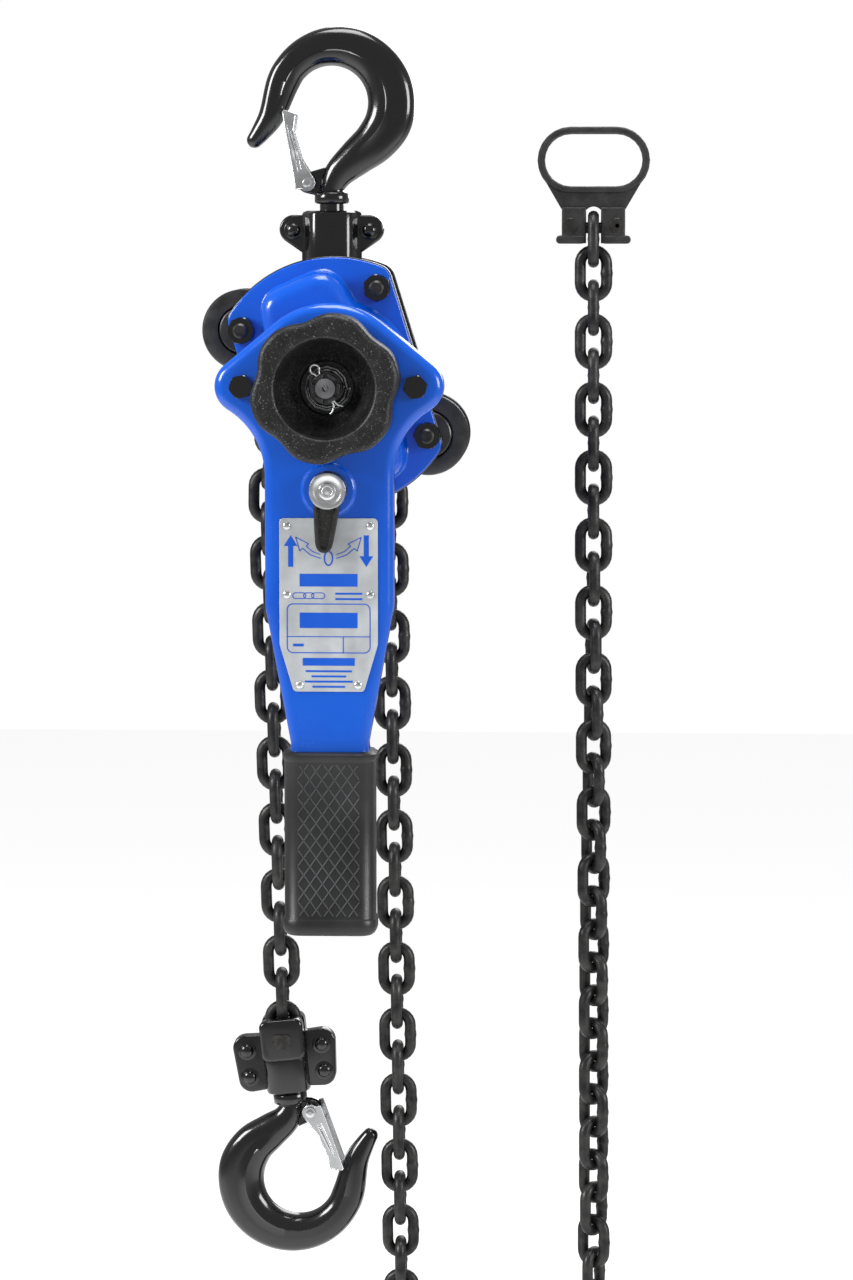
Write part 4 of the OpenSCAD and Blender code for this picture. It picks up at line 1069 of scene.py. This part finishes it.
def end_ring():
    """A cast ring: its eye, a recessed neck with an arch, and two lugs with a lip along their feet."""
    place = Matrix.Translation(Vector(JOINTS["end_ring_tip"]["pos_m"]))
    shape = ring_eye()
    slot, side = 3.9, 16.7
    block = [(slot, -8.2), (side, -8.2), (side, 10.8), (slot, 10.8)]
    foot = shifted(rounded_box(15.6, 4.4, 2), (11.9, -6.2))
    for s in (-1, 1):
        for outline, profile in ((block, both_faces(0.9, -6, 6)), (foot, both_faces(0.9, -6.35, 6.35))):
            lug = [(s * x, z) for x, z in outline]
            shape.prism(evenly(lug[::s], 1.0), profile)
    arch = arc((0, 6.2), 4.9, 90, 38, 6)
    neck = arch + [(side, 9.4), (26.6, 26.4)] + arc((12.05, EYE_Z), EYE_R, -32, -90, 10)
    shape.prism(evenly(mirrored(neck), 1.0), both_faces(0.4, -4.8, 5.6))
    piece("end_ring_casting", shape, RING, "stop_ring", ["end_ring"], 35, place)
    heads = Shape()
    for x in (-12.5, 12.5):
        hole = [(1.1, -6.6), (1.1, -6), (0.1, -6)] if x > 0 else [(0.1, -6.7)]
        heads.lathe([(4.1, -5.8), (4.1, -6.4), (3.8, -6.7)] + hole, (x, 1.1), 32)
    piece("end_ring_studs", heads, BLACKENED, "stop_ring", placed=place)


# ---------------------------------------------------------------- the scene

def surround():
    """White to the camera. What the paint reflects of it is much dimmer, so that black stays black."""
    world = bpy.data.worlds.new("studio")
    bpy.context.scene.world = world
    world.use_nodes = True
    tree = world.node_tree
    background = tree.nodes["Background"]
    background.inputs["Color"].default_value = (1, 1, 1, 1)
    seen = tree.nodes.new("ShaderNodeLightPath").outputs["Is Camera Ray"]
    strength = tree.nodes.new("ShaderNodeMapRange")
    strength.inputs["To Min"].default_value = 0.28
    strength.inputs["To Max"].default_value = 1.0
    tree.links.new(seen, strength.inputs["Value"])
    tree.links.new(strength.outputs["Result"], background.inputs["Strength"])
    bpy.context.scene.view_settings.view_transform = "Standard"


def floor():
    """A pale floor well below the hoist, bright to the camera and dim in reflections."""
    n = Nodes("floor_paint")
    colour = n.mix(n.noise(2), (0.93, 0.93, 0.93), (0.96, 0.96, 0.96))
    n.finish(colour, n.spread(n.noise(5), 0, 1, 0.6, 0.8))
    n.shader.inputs["Emission Color"].default_value = (1, 1, 1, 1)
    glow = n.spread(n.make("ShaderNodeLightPath").outputs["Is Camera Ray"], 0, 1, 0.05, 0.66)
    n.link(glow, n.shader.inputs["Emission Strength"])
    mesh = bpy.data.meshes.new("floor")
    half = 6
    low = CAD_BOX[0][2] - 0.35
    corners = [(-half, -half, low), (half, -half, low), (half, half, low), (-half, half, low)]
    mesh.from_pydata(corners, [], [(0, 1, 2, 3)])
    mesh.materials.append(n.material)
    obj = bpy.data.objects.new("floor", mesh)
    bpy.context.scene.collection.objects.link(obj)


def lights():
    """Four soft lights, all aimed at the middle of the hoist."""
    aim = Vector((0, 0, -0.2))
    for name, at, size, power in (("key", (-1.9, -1.0, 0.7), 0.9, 46), ("fill", (2.0, -0.9, 0.2), 0.9, 26),
                                  ("top", (0.1, -0.2, 1.5), 1.0, 24), ("rim", (0.4, 1.6, 0.5), 1.2, 14)):
        data = bpy.data.lights.new(name, "AREA")
        data.energy = power
        data.size = size
        light = bpy.data.objects.new(name, data)
        light.location = at
        light.rotation_euler = (aim - light.location).to_track_quat("-Z", "Y").to_euler()
        bpy.context.scene.collection.objects.link(light)


def camera():
    """A long lens in front, a little to the right and above."""
    aim = SHAFT + Vector((47.5, 0, -138)) * MM
    distance = 2.2
    shown = 0.684  # the height of the view at the aim
    a = math.radians(2.7)
    e = math.radians(6.0)
    towards = Vector((math.sin(a) * math.cos(e), -math.cos(a) * math.cos(e), math.sin(e)))
    data = bpy.data.cameras.new("camera")
    data.sensor_fit = "VERTICAL"
    data.sensor_height = 24
    data.lens = data.sensor_height * distance / shown
    obj = bpy.data.objects.new("camera", data)
    obj.location = aim + distance * towards
    obj.rotation_euler = (aim - obj.location).to_track_quat("-Z", "Y").to_euler()
    bpy.context.scene.collection.objects.link(obj)
    bpy.context.scene.camera = obj


finish_cad()
for chain_node, chain_body in (("sheave_chain", "sheave"), ("load_chain_upper", "load_strand"),
                               ("load_chain_lower", "load_strand_end"), ("slack_chain", "slack_strand"),
                               ("tail_chain_lower", "tail_loop"), ("tail_chain_upper", "tail")):
    chain(chain_node, chain_body)
piece("top_hook_forging", hook_shape(0), BLACK, "upper_hook", ["top_hook"], 50, TOP_PLACE)
piece("bottom_hook_forging", hook_shape(BOTTOM_LIFT), BLACK, "lower_hook", ["bottom_hook"], 50,
      BOTTOM_PLACE)
latch("top", "upper_latch", TOP_PLACE, 0)
latch("bottom", "lower_latch", BOTTOM_PLACE, BOTTOM_LIFT)
top_yoke()
bottom_yoke()
plates()
brake_cover()
gear_cover()
stay_hardware()
roller("guide_roller_upper", "upper_roller", STAYS[0])
roller("guide_roller_lower", "lower_roller", STAYS[2])
handwheel()
castle_nut()
split_pin()
lever()
grip()
rating_plate()
selector()
end_ring()
surround()
floor()
lights()
camera()
